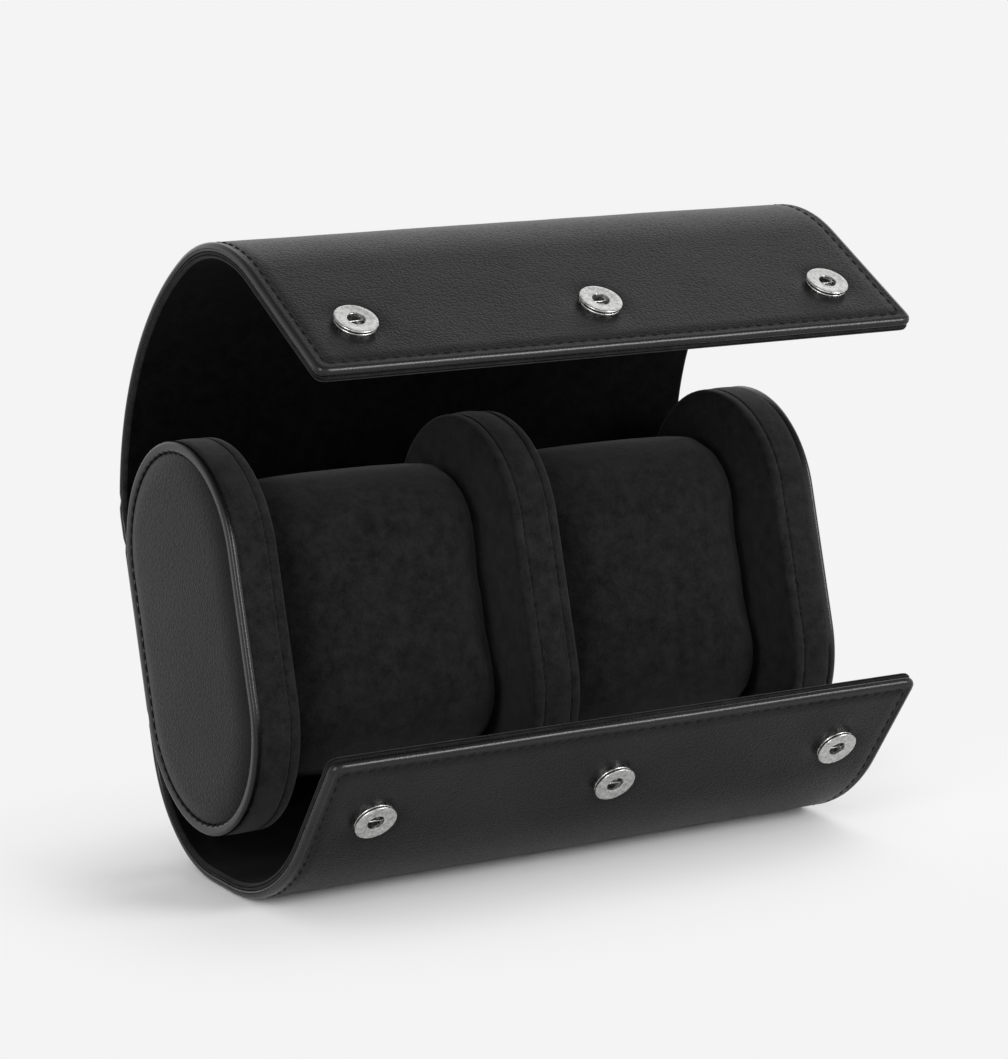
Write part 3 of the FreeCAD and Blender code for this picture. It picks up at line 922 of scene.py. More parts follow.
    def stitch_places(self, strip: Strip) -> list[Matrix]:
        """Where a strip's stitches lie: along both ends of the case and along a free front edge."""
        places = []
        x_line = self.half_length - self.stitch_inset
        low, high = self.stitch_inset, self.section.length - self.stitch_inset
        count = round((high - low) / self.stitch_pitch)
        pitch = (high - low) / count
        for step in range(count):
            along = low + (step + 0.5) * pitch
            if strip.first <= along < strip.last:
                for side in (-1, 1):
                    places.append(self.stitch_matrix(side * x_line, along, False))
        across = round(2 * x_line / self.stitch_pitch)
        for along in (low, high):
            if strip.first <= along < strip.last:
                for step in range(across):
                    x = -x_line + (step + 0.5) * 2 * x_line / across
                    places.append(self.stitch_matrix(x, along, True))
        return places

    def stitch_matrix(self, x: float, along: float, crosswise: bool) -> Matrix:
        """The place of one stitch, on the leather's relief.

        Args:
            x: The place along the case.
            along: The place along the section.
            crosswise: Whether the stitch runs along the case.

        Returns:
            The move from the master to that place.
        """
        stop = self.section.at(along)
        up = -stop.inward
        run = Vector((1, 0, 0)) if crosswise else stop.along
        side = run.cross(up)
        turned = Matrix((side, run, up)).transposed() @ Matrix.Rotation(self.stitch_slant, 3, "Z")
        seat = stop.point(x, -self.relief(x, along) - self.stitch_rise)
        return Matrix.Translation(seat) @ turned.to_4x4()

    def build(self) -> list[bpy.types.Object]:
        """Make the leather, lining and stitches of every strip."""
        leather = self.leather_finish.material()
        polished = self.edge_finish.material()
        lining = self.lining_suede_painted_shade.material()
        cut_edge = self.lining_edge_suede_painted_sheen.material()
        thread = self.thread_finish.material()
        pieces = []
        leather_rows = (*self.edge_rows, self.stitch_inset, self.stitch_inset + self.groove_half)
        lining_rows = (*self.edge_rows, self.corner_radius)
        for strip in self.strips():
            outer = self.sheet(f"wrap_leather_{strip.name}", strip, 0.0, 0.0, leather_rows)
            outer.data.materials.append(leather)
            outer.data.materials.append(polished)
            self.round_corners(outer, 0.0, 0.0)
            self.shape_leather(outer)
            self.thicken(outer, strip, self.stack, (self.edge_round, self.inner_round))
            inner = self.sheet(f"wrap_lining_{strip.name}", strip, self.stack + self.lining_gap,
                               self.lining_inset, lining_rows)
            # First material: the lining's suede, darkened as painted shade inside the wrap.
            inner.data.materials.append(lining)
            # Second material, on the rolled edges: lighter suede as a painted sheen where the edges catch
            # light.
            inner.data.materials.append(cut_edge)
            self.round_corners(inner, self.stack + self.lining_gap, self.lining_inset)
            self.thicken(inner, strip, self.lining - self.lining_gap, (self.lining_round, self.lining_round))
            sewn = join_copies(self.stitch(), f"wrap_stitches_{strip.name}", self.stitch_places(strip))
            for piece, material, slot in ((outer, leather, "leather"), (inner, lining, "lining"),
                                          (sewn, thread, "leather")):
                dress(piece, material, slot)
                self.bend(piece, strip)
                pieces.append(piece)
            for part in strip.strips:
                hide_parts(f"{part}_leather", f"{part}_board")
                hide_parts(f"{part}_lining")
        return pieces


# Caps, divider and pillows


@dataclass(frozen=True)
class CaseAxes:
    """How the things between the flaps stand: the middle of the case and its lean."""

    centre: Vector
    lean: float

    def place(self, end: End = End.RIGHT, along: float = 0.0) -> Matrix:
        """The move from local axes (back, up, outwards) to the frame, turned round for the left end.

        Args:
            end: The end of the case that local Z points to.
            along: How far the local origin lies from the middle, along X.

        Returns:
            The move.
        """
        back = Vector((0, math.cos(self.lean), -math.sin(self.lean))) * end.value
        up = Vector((0, math.sin(self.lean), math.cos(self.lean)))
        out = Vector((end.value, 0, 0))
        turned = Matrix((back, up, out)).transposed()
        return Matrix.Translation(self.centre + Vector((along, 0, 0))) @ turned.to_4x4()


def racetrack(name: str, profile: Sequence[tuple[float, float]], half_straight: float,
              arc_steps: int = 40, straight_steps: int = 16) -> bpy.types.Object:
    """Sweep a profile round a racetrack of two half circles and two straights.

    Args:
        name: The new piece's name.
        profile: Points as a radius and a height along local Z.
        half_straight: Half of the straights' length.
        arc_steps: Steps of a half circle.
        straight_steps: Steps of a straight.

    Returns:
        The closed piece, in local axes.
    """
    up = Vector((0, half_straight, 0))
    axis = Vector((0, 0, 1))
    piece = start_line(name, [Vector((radius, half_straight, height)) for radius, height in profile])
    with editing(piece, Pick.EDGES):
        bpy.ops.mesh.select_all(action="SELECT")
        turn(up, axis, math.pi, arc_steps)
        pull(-2 * up, straight_steps)
        turn(-up, axis, math.pi, arc_steps)
        pull(2 * up, straight_steps)
    close_up(piece)
    return piece


def track_places(radius: float, half_straight: float, height: float, pitch: float,
                 on_wall: bool) -> list[Matrix]:
    """Where stitches lie round a racetrack, in its local axes.

    Args:
        radius: The half circles' radius.
        half_straight: Half of the straights' length.
        height: The row's height along local Z.
        pitch: The rough distance from stitch to stitch.
        on_wall: Whether the stitches lie on the wall, and not on a face across local Z.

    Returns:
        The moves from a master that lies along Y and faces Z.
    """
    arc, straight = math.pi * radius, 2 * half_straight
    count = round(2 * (arc + straight) / pitch)
    laid = Matrix.Rotation(math.pi / 2 if on_wall else 0.0, 4, "Y")
    places = []
    for step in range(count):
        half, run = divmod(2 * (arc + straight) * step / count, arc + straight)
        angle = min(run / radius, math.pi)
        down = max(run - arc, 0.0)
        spot = Vector((math.cos(angle) * radius, half_straight + math.sin(angle) * radius - down, height))
        place = Matrix.Translation(spot) @ Matrix.Rotation(angle, 4, "Z") @ laid
        places.append(Matrix.Rotation(half * math.pi, 4, "Z") @ place)
    return places


def rounded(radius_from: tuple[float, float], corner: tuple[float, float], radius_to: tuple[float, float],
            steps: int = 4) -> list[tuple[float, float]]:
    """Points of a soft corner between two points of a profile.

    Args:
        radius_from: Where the corner starts.
        corner: The sharp corner that the curve stays inside.
        radius_to: Where the corner ends.
        steps: How many stretches the curve has.

    Returns:
        Points on the curve, from its start to its end.
    """
    points = []
    for step in range(steps + 1):
        t = step / steps
        weights = ((1 - t) ** 2, 2 * t * (1 - t), t * t)
        points.append(tuple(sum(w * p[axis] for w, p in zip(weights, (radius_from, corner, radius_to)))
                            for axis in (0, 1)))
    return points


@dataclass(frozen=True)
class Seam:
    """A sewn seam round a suede wall: a groove with small stitches in it."""

    width: float = 0.5 * MM
    depth: float = 0.4 * MM
    pitch: float = 2.0 * MM
    stitch_share: float = 0.62

    def groove(self, radius: float, height: float) -> list[tuple[float, float]]:
        """Points of the groove in a wall's profile, at a height along local Z."""
        slope = radius - self.depth * 0.35
        return [(radius, height - self.width), (slope, height - self.width * 0.4),
                (radius - self.depth, height),
                (slope, height + self.width * 0.4), (radius, height + self.width)]

    def places(self, radius: float, half_straight: float, height: float) -> list[Matrix]:
        """Where the stitches lie in the groove round a racetrack.

        Args:
            radius: The wall's radius.
            half_straight: Half of the straights' length.
            height: The seam's height along local Z.

        Returns:
            The moves from a stitch of full size.
        """
        small = Matrix.Scale(self.stitch_share, 4)
        return [place @ small for place in track_places(radius - self.depth * 0.7, half_straight, height,
                                                        self.pitch, True)]


@dataclass
class EndCap:
    """One end cap: a suede drum with a sewn seam, a leather rim and a padded leather face in it."""

    axes: CaseAxes
    radius: float
    half_straight: float
    bay_end: float
    leather: bpy.types.Material
    polished: bpy.types.Material
    suede: bpy.types.Material
    thread: bpy.types.Material
    stitch: Callable[[], bpy.types.Object]
    wall_width: float = 9.5 * MM
    edge_round: float = 1.3 * MM
    seam: Seam = Seam()
    seam_from_bay: float = 2.6 * MM
    wall_swell: float = 0.12 * MM
    rim_width: float = 2.3 * MM
    rim_rise: float = 1.8 * MM
    rim_overhang: float = 0.1 * MM
    rim_foot: float = 0.5 * MM
    tuck: float = 0.1 * MM
    dome: float = 0.25 * MM
    valley_rise: float = 1.35 * MM
    face_rise: float = 2.85 * MM
    face_shoulder: float = 7.0 * MM
    dome_steps: int = 9
    pad_wave: float = 0.09 * MM
    pad_wave_length: float = 17.0 * MM
    stitch_pitch: float = 2.6 * MM
    stitch_rise: float = 0.12 * MM

    def drum(self, end: End) -> bpy.types.Object:
        """The suede wall with the panel to the bay, a closed drum whose far side the rim covers."""
        radius, height = self.radius, self.seam_from_bay
        wall_top = self.wall_width
        swell = radius + self.wall_swell
        middle = (height + wall_top) / 2
        profile = [(0.0, 0.0), (radius * 0.5, 0.0)]
        profile += rounded((radius - self.edge_round, 0.0), (radius, 0.0), (radius, self.edge_round))
        profile += self.seam.groove(radius, height)
        profile += rounded((radius, height + 1.6 * self.seam.width), (swell + self.wall_swell, middle),
                           (radius, wall_top - self.seam.width), 6)
        profile += [(radius - 0.35 * MM, wall_top), (0.0, wall_top)]
        return racetrack(f"{end.word}_cap_drum", profile, self.half_straight)

    def rim(self, end: End) -> bpy.types.Object:
        """The turned leather rim round the face: a flat bead, rolled at its outer edge."""
        outer, inner = self.radius + self.rim_overhang, self.radius - self.rim_width
        low, high = self.wall_width - self.tuck, self.wall_width + self.rim_rise
        valley = self.wall_width + self.valley_rise
        profile = [(outer - self.rim_foot, low)]
        profile += rounded((outer, high - 1.0 * MM), (outer + 0.03 * MM, high), (outer - 0.9 * MM, high), 8)
        profile += rounded((inner + 0.8 * MM, high - 0.08 * MM), (inner + 0.2 * MM, high - 0.1 * MM),
                           (inner, valley), 5)
        profile += [(inner, low), (outer - self.rim_foot, low)]
        return racetrack(f"{end.word}_cap_rim", profile, self.half_straight, 48, 16)

    def face(self, end: End) -> bpy.types.Object:
        """The padded leather face, domed from the stitch line inwards."""
        edge = self.radius - self.rim_width + 0.05 * MM
        low = self.wall_width - self.tuck
        valley = self.wall_width + self.valley_rise - self.dome
        high = self.wall_width + self.face_rise
        profile = [(0.0, low), (edge, low), (edge, valley - 0.1 * MM)]
        shoulder = edge - self.face_shoulder
        profile += rounded((edge - 0.1 * MM, valley), (edge - 1.9 * MM, high - 0.4 * MM),
                           (shoulder, high - self.dome), 12)
        for step in range(1, self.dome_steps + 1):
            share = step / self.dome_steps
            profile.append((shoulder * (1 - share), high - self.dome * (1 - share) ** 2))
        piece = racetrack(f"{end.word}_cap_face", profile, self.half_straight, 48, 20)
        for vert in piece.data.vertices:
            if vert.co.z > valley:
                vert.co.z += noise.noise(vert.co / self.pad_wave_length) * self.pad_wave
        return piece

    def stitches(self, end: End) -> bpy.types.Object:
        """The stitches round the face and along the wall's seam."""
        inner = self.radius - self.rim_width
        places = track_places(inner + 0.1 * MM, self.half_straight,
                              self.wall_width + self.valley_rise + self.stitch_rise, self.stitch_pitch, False)
        places += self.seam.places(self.radius, self.half_straight, self.seam_from_bay)
        return join_copies(self.stitch(), f"{end.word}_cap_stitches", places)

    def build(self, end: End) -> list[bpy.types.Object]:
        """Make, place and dress the pieces of one cap.

        Args:
            end: The end of the case.

        Returns:
            The cap's pieces.
        """
        place = self.axes.place(end, end.value * self.bay_end)
        drum, rim, face = self.drum(end), self.rim(end), self.face(end)
        sewn = self.stitches(end)
        for piece in (drum, rim, face, sewn):
            piece.data.transform(place)
        for piece in (drum, rim, face):
            smooth(piece)
        dress(drum, self.suede, "suede")
        dress(rim, self.polished, "piping")
        dress(face, self.leather, "cap_leather")
        dress(sewn, self.thread, "piping")
        for piece in (drum, rim, face, sewn):
            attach(piece, Body.CASE.value)
        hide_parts(*[f"{end.word}_cap_{part}" for part in ("inner_panel", "core", "wall")])
        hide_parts(f"{end.word}_cap_piping")
        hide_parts(*[f"{end.word}_cap_{part}" for part in ("board", "face_leather", "face_foam")])
        return [drum, rim, face, sewn]


@dataclass
class Divider:
    """The suede wall between the bays, sewn from two panels and a band with a seam at each edge."""

    axes: CaseAxes
    radius: float
    half_straight: float
    half_width: float
    suede: bpy.types.Material
    thread: bpy.types.Material
    stitch: Callable[[], bpy.types.Object]
    edge_round: float = 1.4 * MM
    seam: Seam = Seam()
    seam_from_edge: float = 2.6 * MM
    band_swell: float = 0.3 * MM

    def stitches(self) -> bpy.types.Object:
        """The stitches along both seams."""
        places = [place for side in (-1, 1) for place in self.seam.places(
            self.radius, self.half_straight, side * (self.half_width - self.seam_from_edge))]
        return join_copies(self.stitch(), "divider_stitches", places)

    def build(self) -> list[bpy.types.Object]:
        """Make, place and dress the divider."""
        radius, half = self.radius, self.half_width
        height = half - self.seam_from_edge
        profile = [(0.0, -half), (radius * 0.5, -half)]
        profile += rounded((radius - self.edge_round, -half), (radius, -half),
                           (radius, self.edge_round - half))
        profile += self.seam.groove(radius, -height)
        profile += rounded((radius, 1.5 * self.seam.width - height), (radius + 2 * self.band_swell, 0.0),
                           (radius, height - 1.5 * self.seam.width), 6)
        profile += self.seam.groove(radius, height)
        profile += rounded((radius, half - self.edge_round), (radius, half), (radius - self.edge_round, half))
        profile += [(radius * 0.5, half), (0.0, half)]
        piece = racetrack("divider", profile, self.half_straight)
        smooth(piece)
        sewn = self.stitches()
        for made, material in ((piece, self.suede), (sewn, self.thread)):
            made.data.transform(self.axes.place())
            dress(made, material, "suede")
            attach(made, Body.CASE.value)
        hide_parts(*[f"divider_{part}" for part in ("core", "wall", "left_panel", "right_panel")])
        return [piece, sewn]


@dataclass
class Pillow:
    """A watch pillow: foam in a sewn suede cover, swollen by a cloth simulation."""

    axes: CaseAxes
    half_width: float
    middle: float
    suede: bpy.types.Material
    radius: float = 18.0 * MM
    half_straight: float = 16.2 * MM
    drawn_in: float = 2.6 * MM
    shoulder: float = 6.0 * MM
    end_round: float = 1.0 * MM
    belly: float = 0.5 * MM
    slack: float = 0.7 * MM
    voxel: float = 4.0 * MM
    solver_scale: float = 10.0
    pressure: float = 4.0
    frames: int = 20
    furthest_move: float = 2.2 * MM
    seam_inset: float = 1.9 * MM
    seam_width: float = 1.1 * MM
    seam_depth: float = 0.5 * MM
    pucker: float = 0.5
    pucker_length: float = 5.0 * MM

    def blank(self, end: End) -> bpy.types.Object:
        """The pillow before it swells, a little small: a racetrack with drawn-in ends."""
        reach, half = self.radius - self.slack, self.half_width - self.slack
        profile = [(0.0, -half), (reach * 0.5, -half)]
        profile += rounded((reach - self.drawn_in - self.end_round, -half),
                           (reach - self.drawn_in * 0.5, -half), (reach, self.shoulder - half), 5)
        profile += [(reach + self.belly, -half * 0.35), (reach + self.belly, half * 0.35)]
        profile += rounded((reach, half - self.shoulder), (reach - self.drawn_in * 0.5, half),
                           (reach - self.drawn_in - self.end_round, half), 5)
        profile += [(reach * 0.5, half), (0.0, half)]
        return racetrack(f"{end.word}_pillow", profile, self.half_straight, 28, 12)

    def swell(self, piece: bpy.types.Object) -> None:
        """Blow the cover up with Blender's cloth, at ten times its size so that the solver has grip."""
        apply_modifier(piece, "REMESH", {"mode": "VOXEL", "voxel_size": self.voxel})
        piece.data.transform(Matrix.Scale(self.solver_scale, 4))
        before = [vert.co.copy() for vert in piece.data.vertices]
        cloth = piece.modifiers.new("cloth", "CLOTH")
        cloth.settings.use_pressure = True
        cloth.settings.uniform_pressure_force = self.pressure
        cloth.settings.effector_weights.gravity = 0.0
        cloth.collision_settings.use_self_collision = False
        scene = bpy.context.scene
        for step in range(1, self.frames + 1):
            scene.frame_set(step)
        swollen = piece.evaluated_get(bpy.context.evaluated_depsgraph_get())
        after = [vert.co.copy() for vert in swollen.data.vertices]
        piece.modifiers.remove(cloth)
        scene.frame_set(1)
        limit = self.furthest_move * self.solver_scale
        for vert, old, new in zip(piece.data.vertices, before, after):
            move = new - old
            vert.co = old + move * min(1.0, limit / max(move.length, MERGE_DISTANCE))
        piece.data.transform(Matrix.Scale(1 / self.solver_scale, 4))

    def sew(self, piece: bpy.types.Object) -> None:
        """Press the seams of the end panels into the cover and keep it inside its bay."""
        seam = self.half_width - self.seam_inset
        flat_from = self.radius - 4 * MM
        for vert in piece.data.vertices:
            beyond = max(abs(vert.co.y) - self.half_straight, 0.0)
            reach = math.hypot(vert.co.x, beyond)
            pucker = 1 + self.pucker * noise.noise(vert.co / self.pucker_length)
            near = max(0.0, 1 - abs(abs(vert.co.z) - seam) / self.seam_width)
            if reach > flat_from:
                pressed = self.seam_depth * near * pucker / max(reach, MERGE_DISTANCE)
                vert.co.x -= vert.co.x * pressed
                vert.co.y -= math.copysign(beyond * pressed, vert.co.y)
            vert.co.z = max(-self.half_width, min(self.half_width, vert.co.z))

    def build(self, end: End) -> bpy.types.Object:
        """Make, place and dress one pillow.

        Args:
            end: The end of the case that it is nearer to.

        Returns:
            The pillow.
        """
        piece = self.blank(end)
        self.swell(piece)
        apply_modifier(piece, "SUBSURF", {"levels": 2, "render_levels": 2})
        self.sew(piece)
        piece.data.transform(self.axes.place(end, end.value * self.middle))
        smooth(piece, math.pi)
        dress(piece, self.suede, "pillow_suede")
        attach(piece, f"{end.word}_pillow")
        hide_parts(f"{end.word}_pillow_cover", f"{end.word}_pillow_foam")
        return piece


# Snaps


@dataclass
class SnapRow:
    """Three press snaps on a flap: turned heads outside, rings on their posts inside."""

    section: Section
    line: SnapLine
    spacing: float
    body: Body
    metal: bpy.types.Material
    head_node: str
    ring_node: str
    ring_height: float
    wrap_depth: float = 3.4 * MM
    head_radius: float = SNAP_HEAD_RADIUS
    head_height: float = 1.3 * MM
    sunk: float = 1.3 * MM
    disc_height: float = 0.6 * MM
    gap_height: float = 0.22 * MM
    bore_radius: float = 1.9 * MM
    bore_depth: float = 2.3 * MM
    lip_width: float = 0.4 * MM
    edge_round: float = 0.32 * MM
    ring_radius: float = 4.4 * MM
    post_radius: float = 2.2 * MM
    spring_radius: float = 0.17 * MM
    spring_offset: float = 0.75 * MM
    spring_depth: float = 1.35 * MM
    turn_steps: int = 56

    def turned(self, name: str, profile: Sequence[tuple[float, float]]) -> bpy.types.Object:
        """Turn a profile of radii and heights about local Z."""
        piece = start_line(name, [Vector((radius, 0, height)) for radius, height in profile])
        with editing(piece, Pick.EDGES):
            bpy.ops.mesh.select_all(action="SELECT")
            turn(Vector(), Vector((0, 0, 1)), math.tau, self.turn_steps)
        close_up(piece)
        return piece

    def head(self) -> bpy.types.Object:
        """The visible disc, dished round its bore, on a collar that is sunk a little into the leather."""
        top, reach, bore = self.head_height, self.head_radius, self.bore_radius
        lip = bore + self.lip_width
        profile = [(0.0, top - self.bore_depth - 0.25 * MM), (bore * 0.55, top - self.bore_depth - 0.2 * MM)]
        profile += rounded((bore * 0.9, top - self.bore_depth), (bore, top - self.bore_depth),
                           (bore, top - 0.45 * MM), 3)
        profile += rounded((bore, top - 0.35 * MM), (bore, top - 0.1 * MM), (lip, top - 0.12 * MM), 4)
        profile += [(lip + 0.5 * MM, top - 0.16 * MM), (reach * 0.72, top - 0.03 * MM)]
        under = top - self.disc_height
        soft = self.edge_round
        profile += rounded((reach - 1.5 * soft, top), (reach, top), (reach, top - soft), 5)
        profile += rounded((reach, under + 0.6 * soft), (reach, under), (reach - 0.8 * soft, under), 3)
        collar, brim = under - self.gap_height, reach - 0.15 * MM
        profile += [(reach - 0.7 * MM, under), (reach - 0.7 * MM, collar)]
        profile += rounded((brim - soft, collar), (brim, collar), (brim, collar - soft), 4)
        profile += [(brim, 0.0), (brim, -self.sunk), (0.0, -self.sunk)]
        piece = self.turned(f"{self.line.flap}_snap_head", profile)
        smooth(piece, METAL_SMOOTH_ANGLE)
        return piece

    def springs(self) -> bpy.types.Object:
        """The two spring wires that cross a head's bore."""
        bpy.ops.object.select_all(action="DESELECT")
        bpy.ops.mesh.primitive_cylinder_add(vertices=10, radius=self.spring_radius,
                                            depth=2 * self.bore_radius, rotation=(0, math.pi / 2, 0))
        wire = bpy.context.active_object
        bpy.ops.object.transform_apply(location=True, rotation=True, scale=True)
        with editing(wire, Pick.EDGES):
            bpy.ops.mesh.select_all(action="SELECT")
            bpy.ops.mesh.bevel(offset=self.spring_radius * 0.3, segments=2, affect="EDGES")
        smooth(wire, math.pi)
        height = self.head_height - self.spring_depth
        places = [Matrix.Translation((0, side * self.spring_offset, height)) for side in (-1, 1)]
        return join_copies(wire, f"{self.line.flap}_snap_springs", places)

    def ring(self) -> bpy.types.Object:
        """The ring closed on a post inside the flap, with the post's flared end in it."""
        face, end = -self.wrap_depth, -self.wrap_depth - self.ring_height
        reach, post = self.ring_radius, self.post_radius
        soft = min(0.4 * MM, self.ring_height * 0.6)
        profile = [(0.0, face + 0.3 * MM), (reach - 0.2 * MM, face + 0.3 * MM), (reach, face)]
        profile += rounded((reach, end + soft), (reach, end), (reach - soft, end), 4)
        profile += [(post + 0.5 * MM, end), (post + 0.2 * MM, end + 0.15 * MM)]
        profile += rounded((post, end + 0.1 * MM), (post - 0.2 * MM, end - 0.05 * MM),
                           (post - 0.5 * MM, end + 0.1 * MM), 4)
        profile += [(post - 0.75 * MM, end + 0.5 * MM), (post - 0.75 * MM, face), (0.0, face)]
        piece = self.turned(f"{self.line.flap}_snap_ring", profile)
        smooth(piece, METAL_SMOOTH_ANGLE)
        return piece

    def places(self) -> list[Matrix]:
        """Where the three snaps stand, with local Z pointing out of the leather."""
        stop = self.section.at(self.line.place)
        out = -stop.inward
        turned = Matrix((Vector((1, 0, 0)), out.cross(Vector((1, 0, 0))), out)).transposed().to_4x4()
        return [Matrix.Translation(stop.point(step * self.spacing)) @ turned for step in (-1, 0, 1)]

    def build(self) -> list[bpy.types.Object]:
        """Make, place and dress the heads, springs and rings of one flap."""
        places = self.places()
        head, springs, ring = self.head(), self.springs(), self.ring()
        select_only(head)
        springs.select_set(True)
        bpy.ops.object.join()
        heads = join_copies(head, self.head_node + "_turned", places)
        rings = join_copies(ring, self.ring_node + "_turned", places)
        for piece, node in ((heads, self.head_node), (rings, self.ring_node)):
            dress(piece, self.metal, "snap_metal")
            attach(piece, self.body.value)
            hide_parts(node)
        return [heads, rings]


# Studio


@dataclass
class Studio:
    """A pale floor, three soft boxes in a light room, and the photograph's camera."""

    background: str = "#f4f4f4"
    floor_size: float = 24.0
    contact_half: float = 0.07
    floor_near: tuple[float, float] = (0.02, 0.065)
    floor_far: tuple[float, float] = (0.035, 0.11)
    floor_glow: float = 0.66
    horizon_light: float = 1.35
    zenith_light: float = 0.30
    azimuth: float = math.radians(-30.7)
    elevation: float = math.radians(11.3)
    distance: float = 800.0 * MM
    target: tuple[float, float, float] = (-4.6 * MM, -2.0 * MM, 73.2 * MM)
    focal_pixels: float = 3600.0
    frame_long_side: float = 1059.0
    sensor: float = 36.0

    def seen(self, tree: bpy.types.NodeTree) -> bpy.types.NodeSocket:
        """A factor that is 1 for what the camera, a reflection or a refraction sees."""
        path = add_node(tree, "LightPath")
        glossy = add_node(tree, "Math", {"operation": "MAXIMUM"},
                          {0: path.outputs["Is Camera Ray"], 1: path.outputs["Is Glossy Ray"]})
        both = add_node(tree, "Math", {"operation": "MAXIMUM"},
                        {0: glossy.outputs[0], 1: path.outputs["Is Transmission Ray"]})
        return both.outputs[0]

    def floor(self) -> bpy.types.Object:
        """The floor: it takes the shadow near the case and fades to the background further off."""
        bpy.ops.object.select_all(action="DESELECT")
        bpy.ops.mesh.primitive_plane_add(size=self.floor_size)
        plane = bpy.context.active_object
        plane.name = "floor"
        material, tree, place = new_material("floor_paper")
        paper = add_node(tree, "BsdfDiffuse", {}, {"Color": hex_to_linear(self.background)})
        glow = add_node(tree, "Emission", {}, {"Color": hex_to_linear(self.background), "Strength": 1.0})
        folded = add_node(tree, "VectorMath", {"operation": "ABSOLUTE"}, {0: place})
        beyond = add_node(tree, "VectorMath", {"operation": "SUBTRACT"},
                          {0: folded.outputs["Vector"], 1: (self.contact_half, 0.0, 0.0)})
        outside = add_node(tree, "VectorMath", {"operation": "MAXIMUM"}, {0: beyond.outputs["Vector"]})
        away = add_node(tree, "VectorMath", {"operation": "LENGTH"}, {0: outside.outputs["Vector"]})
        zones = ((self.floor_near, self.floor_glow), (self.floor_far, 1 - self.floor_glow))
        steps = [add_node(tree, "MapRange", {"interpolation_type": "SMOOTHSTEP"},
                          {"Value": away.outputs["Value"], "From Min": near, "From Max": far,
                           "To Max": share})
                 for (near, far), share in zones]
        fade = add_node(tree, "Math", {"operation": "ADD"},
                        {socket: step.outputs["Result"] for socket, step in enumerate(steps)})
        factor = add_node(tree, "Math", {"operation": "MULTIPLY"}, {0: fade.outputs[0], 1: self.seen(tree)})
        mixed = add_node(tree, "MixShader", {},
                         {0: factor.outputs[0], 1: paper.outputs[0], 2: glow.outputs[0]})
        add_node(tree, "OutputMaterial", {}, {"Surface": mixed.outputs[0]})
        plane.data.materials.append(material)
        return plane

    def world(self) -> None:
        """A plain world: light walls, a dimmer ceiling, and the background's colour where it is seen."""
        world = bpy.data.worlds.new("studio")
        world.use_nodes = True
        tree = world.node_tree
        tree.nodes.clear()
        way = add_node(tree, "TexCoord")
        parts = add_node(tree, "SeparateXYZ", {}, {"Vector": way.outputs["Generated"]})
        level = add_node(tree, "MapRange", {"interpolation_type": "SMOOTHSTEP"},
                         {"Value": parts.outputs["Z"], "To Min": self.horizon_light,
                          "To Max": self.zenith_light})
        light = add_node(tree, "Background", {}, {"Color": hex_to_linear("#ffffff"),
                                                  "Strength": level.outputs["Result"]})
        back = add_node(tree, "Background", {}, {"Color": hex_to_linear(self.background), "Strength": 1.0})
        path = add_node(tree, "LightPath")
        mixed = add_node(tree, "MixShader", {}, {0: path.outputs["Is Camera Ray"], 1: light.outputs[0],
                                                 2: back.outputs[0]})
        add_node(tree, "OutputWorld", {}, {"Surface": mixed.outputs[0]})
        bpy.context.scene.world = world

    def lamp(self, name: str, place: Vector, aim: Vector, width: float, height: float, power: float) -> None:
        """Hang one soft box.

        Args:
            name: The lamp's name.
            place: Where it hangs.
            aim: The point that it faces.
            width: Its width.
            height: Its height.
            power: Its power in watts.
        """
        data = bpy.data.lights.new(name, "AREA")
        data.shape = "RECTANGLE"
        data.size = width
        data.size_y = height
        data.energy = power
        lamp = bpy.data.objects.new(name, data)
        lamp.location = place
        lamp.rotation_euler = (aim - place).to_track_quat("-Z", "Y").to_euler()
        bpy.context.scene.collection.objects.link(lamp)

    def camera(self) -> None:
        """Stand the camera at the photograph's angle."""
        data = bpy.data.cameras.new("camera")
        data.sensor_width = self.sensor
        data.lens = self.sensor * self.focal_pixels / self.frame_long_side
        data.clip_start = 0.05
        data.clip_end = 100.0
        camera = bpy.data.objects.new("camera", data)
        flat = math.cos(self.elevation)
        back = Vector((math.sin(self.azimuth) * flat, -math.cos(self.azimuth) * flat,
                       math.sin(self.elevation)))
        camera.location = Vector(self.target) + back * self.distance
        camera.rotation_euler = (-back).to_track_quat("-Z", "Y").to_euler()
        bpy.context.scene.collection.objects.link(camera)
        bpy.context.scene.camera = camera

    def build(self) -> None:
        """Set up the floor, the light and the camera."""
        self.floor()
        self.world()
        middle = Vector((0, 0, 60 * MM))
        for name, place, width, height, power in (
                ("back_box", (1.00, 0.90, 1.50), 2.0, 1.6, 10.0),
                ("key_box", (0.68, -1.12, 0.60), 0.55, 0.45, 12.0),
                ("fill_box", (-1.00, -0.70, 0.50), 0.32, 0.70, 7.0)):
            self.lamp(name, Vector(place), middle, width, height, power)
        self.camera()
        bpy.context.scene.view_settings.view_transform = "Standard"


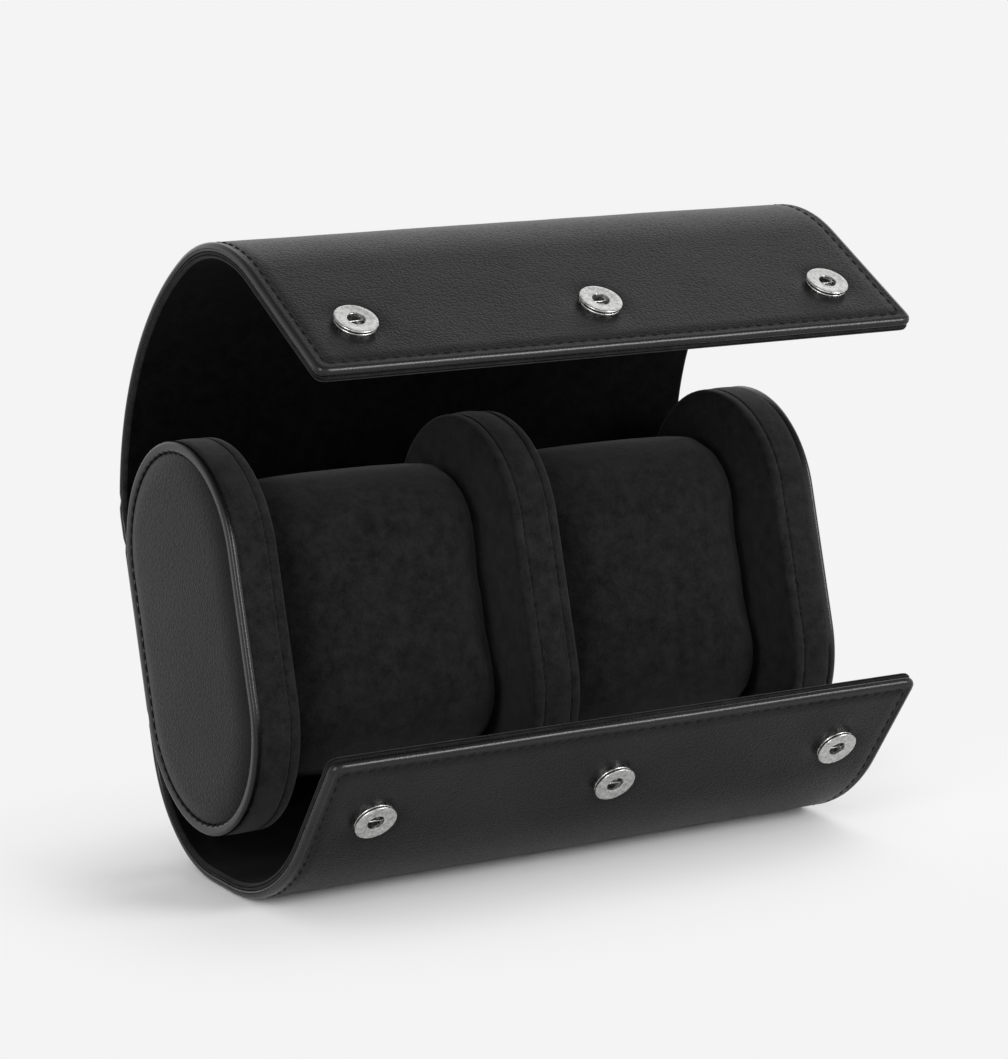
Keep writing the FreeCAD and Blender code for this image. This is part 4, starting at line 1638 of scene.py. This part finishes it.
def main() -> None:
    """Build the case's pieces in order, then the studio."""
    logging.basicConfig(level=logging.INFO, format="%(name)s: %(message)s")
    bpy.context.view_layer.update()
    sizes = WrapSizes()
    section = sizes.section()
    pressed = {"roughness": 0.27, "roughness_swing": 0.06, "bump": 0.15, "gloss": 0.3}
    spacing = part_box("upper_snap_caps")[1].x - SNAP_HEAD_RADIUS
    lines = (SnapLine("upper", section.length - 14.5 * MM), SnapLine("lower", 18.5 * MM))
    wrap = Wrap(section, Leather("black_grained_leather"), Leather("black_pressed_edge", **pressed),
                # The lining's tones are darker than the other suede's: painted shade inside the wrap.
                Microsuede("black_suede_lining_painted_shade", "#020202", "#0c0c0c", sheen=0.05, gloss=0.03),
                # The rolled edges' tones are lighter than the lining's: painted sheen where the edges catch
                # light.
                Microsuede("black_suede_edge_painted_sheen", "#060606", "#1e1e1e", sheen=0.22),
                Thread("black_thread"), lines, spacing)
    wrap.build()
    case_low, case_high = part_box("divider_wall")
    axes = CaseAxes((case_low + case_high) / 2, sizes.lean)
    track = (27.0 * MM, 16.2 * MM)
    suede = Microsuede("black_microsuede").material()
    thread = Thread("black_cap_thread").material()
    cap = EndCap(axes, *track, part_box("right_cap_wall")[0].x, Leather("black_cap_leather").material(),
                 Leather("black_cap_edge", **pressed).material(), suede, thread, wrap.stitch)
    for end in End:
        cap.build(end)
    Divider(axes, *track, case_high.x, suede, thread, wrap.stitch).build()
    pillow_low, pillow_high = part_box("right_pillow_cover")
    pillow_suede = Microsuede("black_pillow_suede", "#040404", "#1b1b1b", sheen=0.22).material()
    pillow = Pillow(axes, (pillow_high.x - pillow_low.x) / 2, (pillow_high.x + pillow_low.x) / 2,
                    pillow_suede)
    for end in End:
        pillow.build(end)
    metal = NickelPlate("nickel_plate").material()
    rows = ((lines[0], Body.UPPER_FRONT, "upper_snap_caps", "upper_snap_sockets", 1.1 * MM),
            (lines[1], Body.LOWER_FRONT, "lower_snap_studs", "lower_snap_washers", 0.5 * MM))
    for line, body, head_node, ring_node, ring_height in rows:
        SnapRow(section, line, spacing, body, metal, head_node, ring_node, ring_height).build()
    Studio().build()


if __name__ == "__main__":
    main()
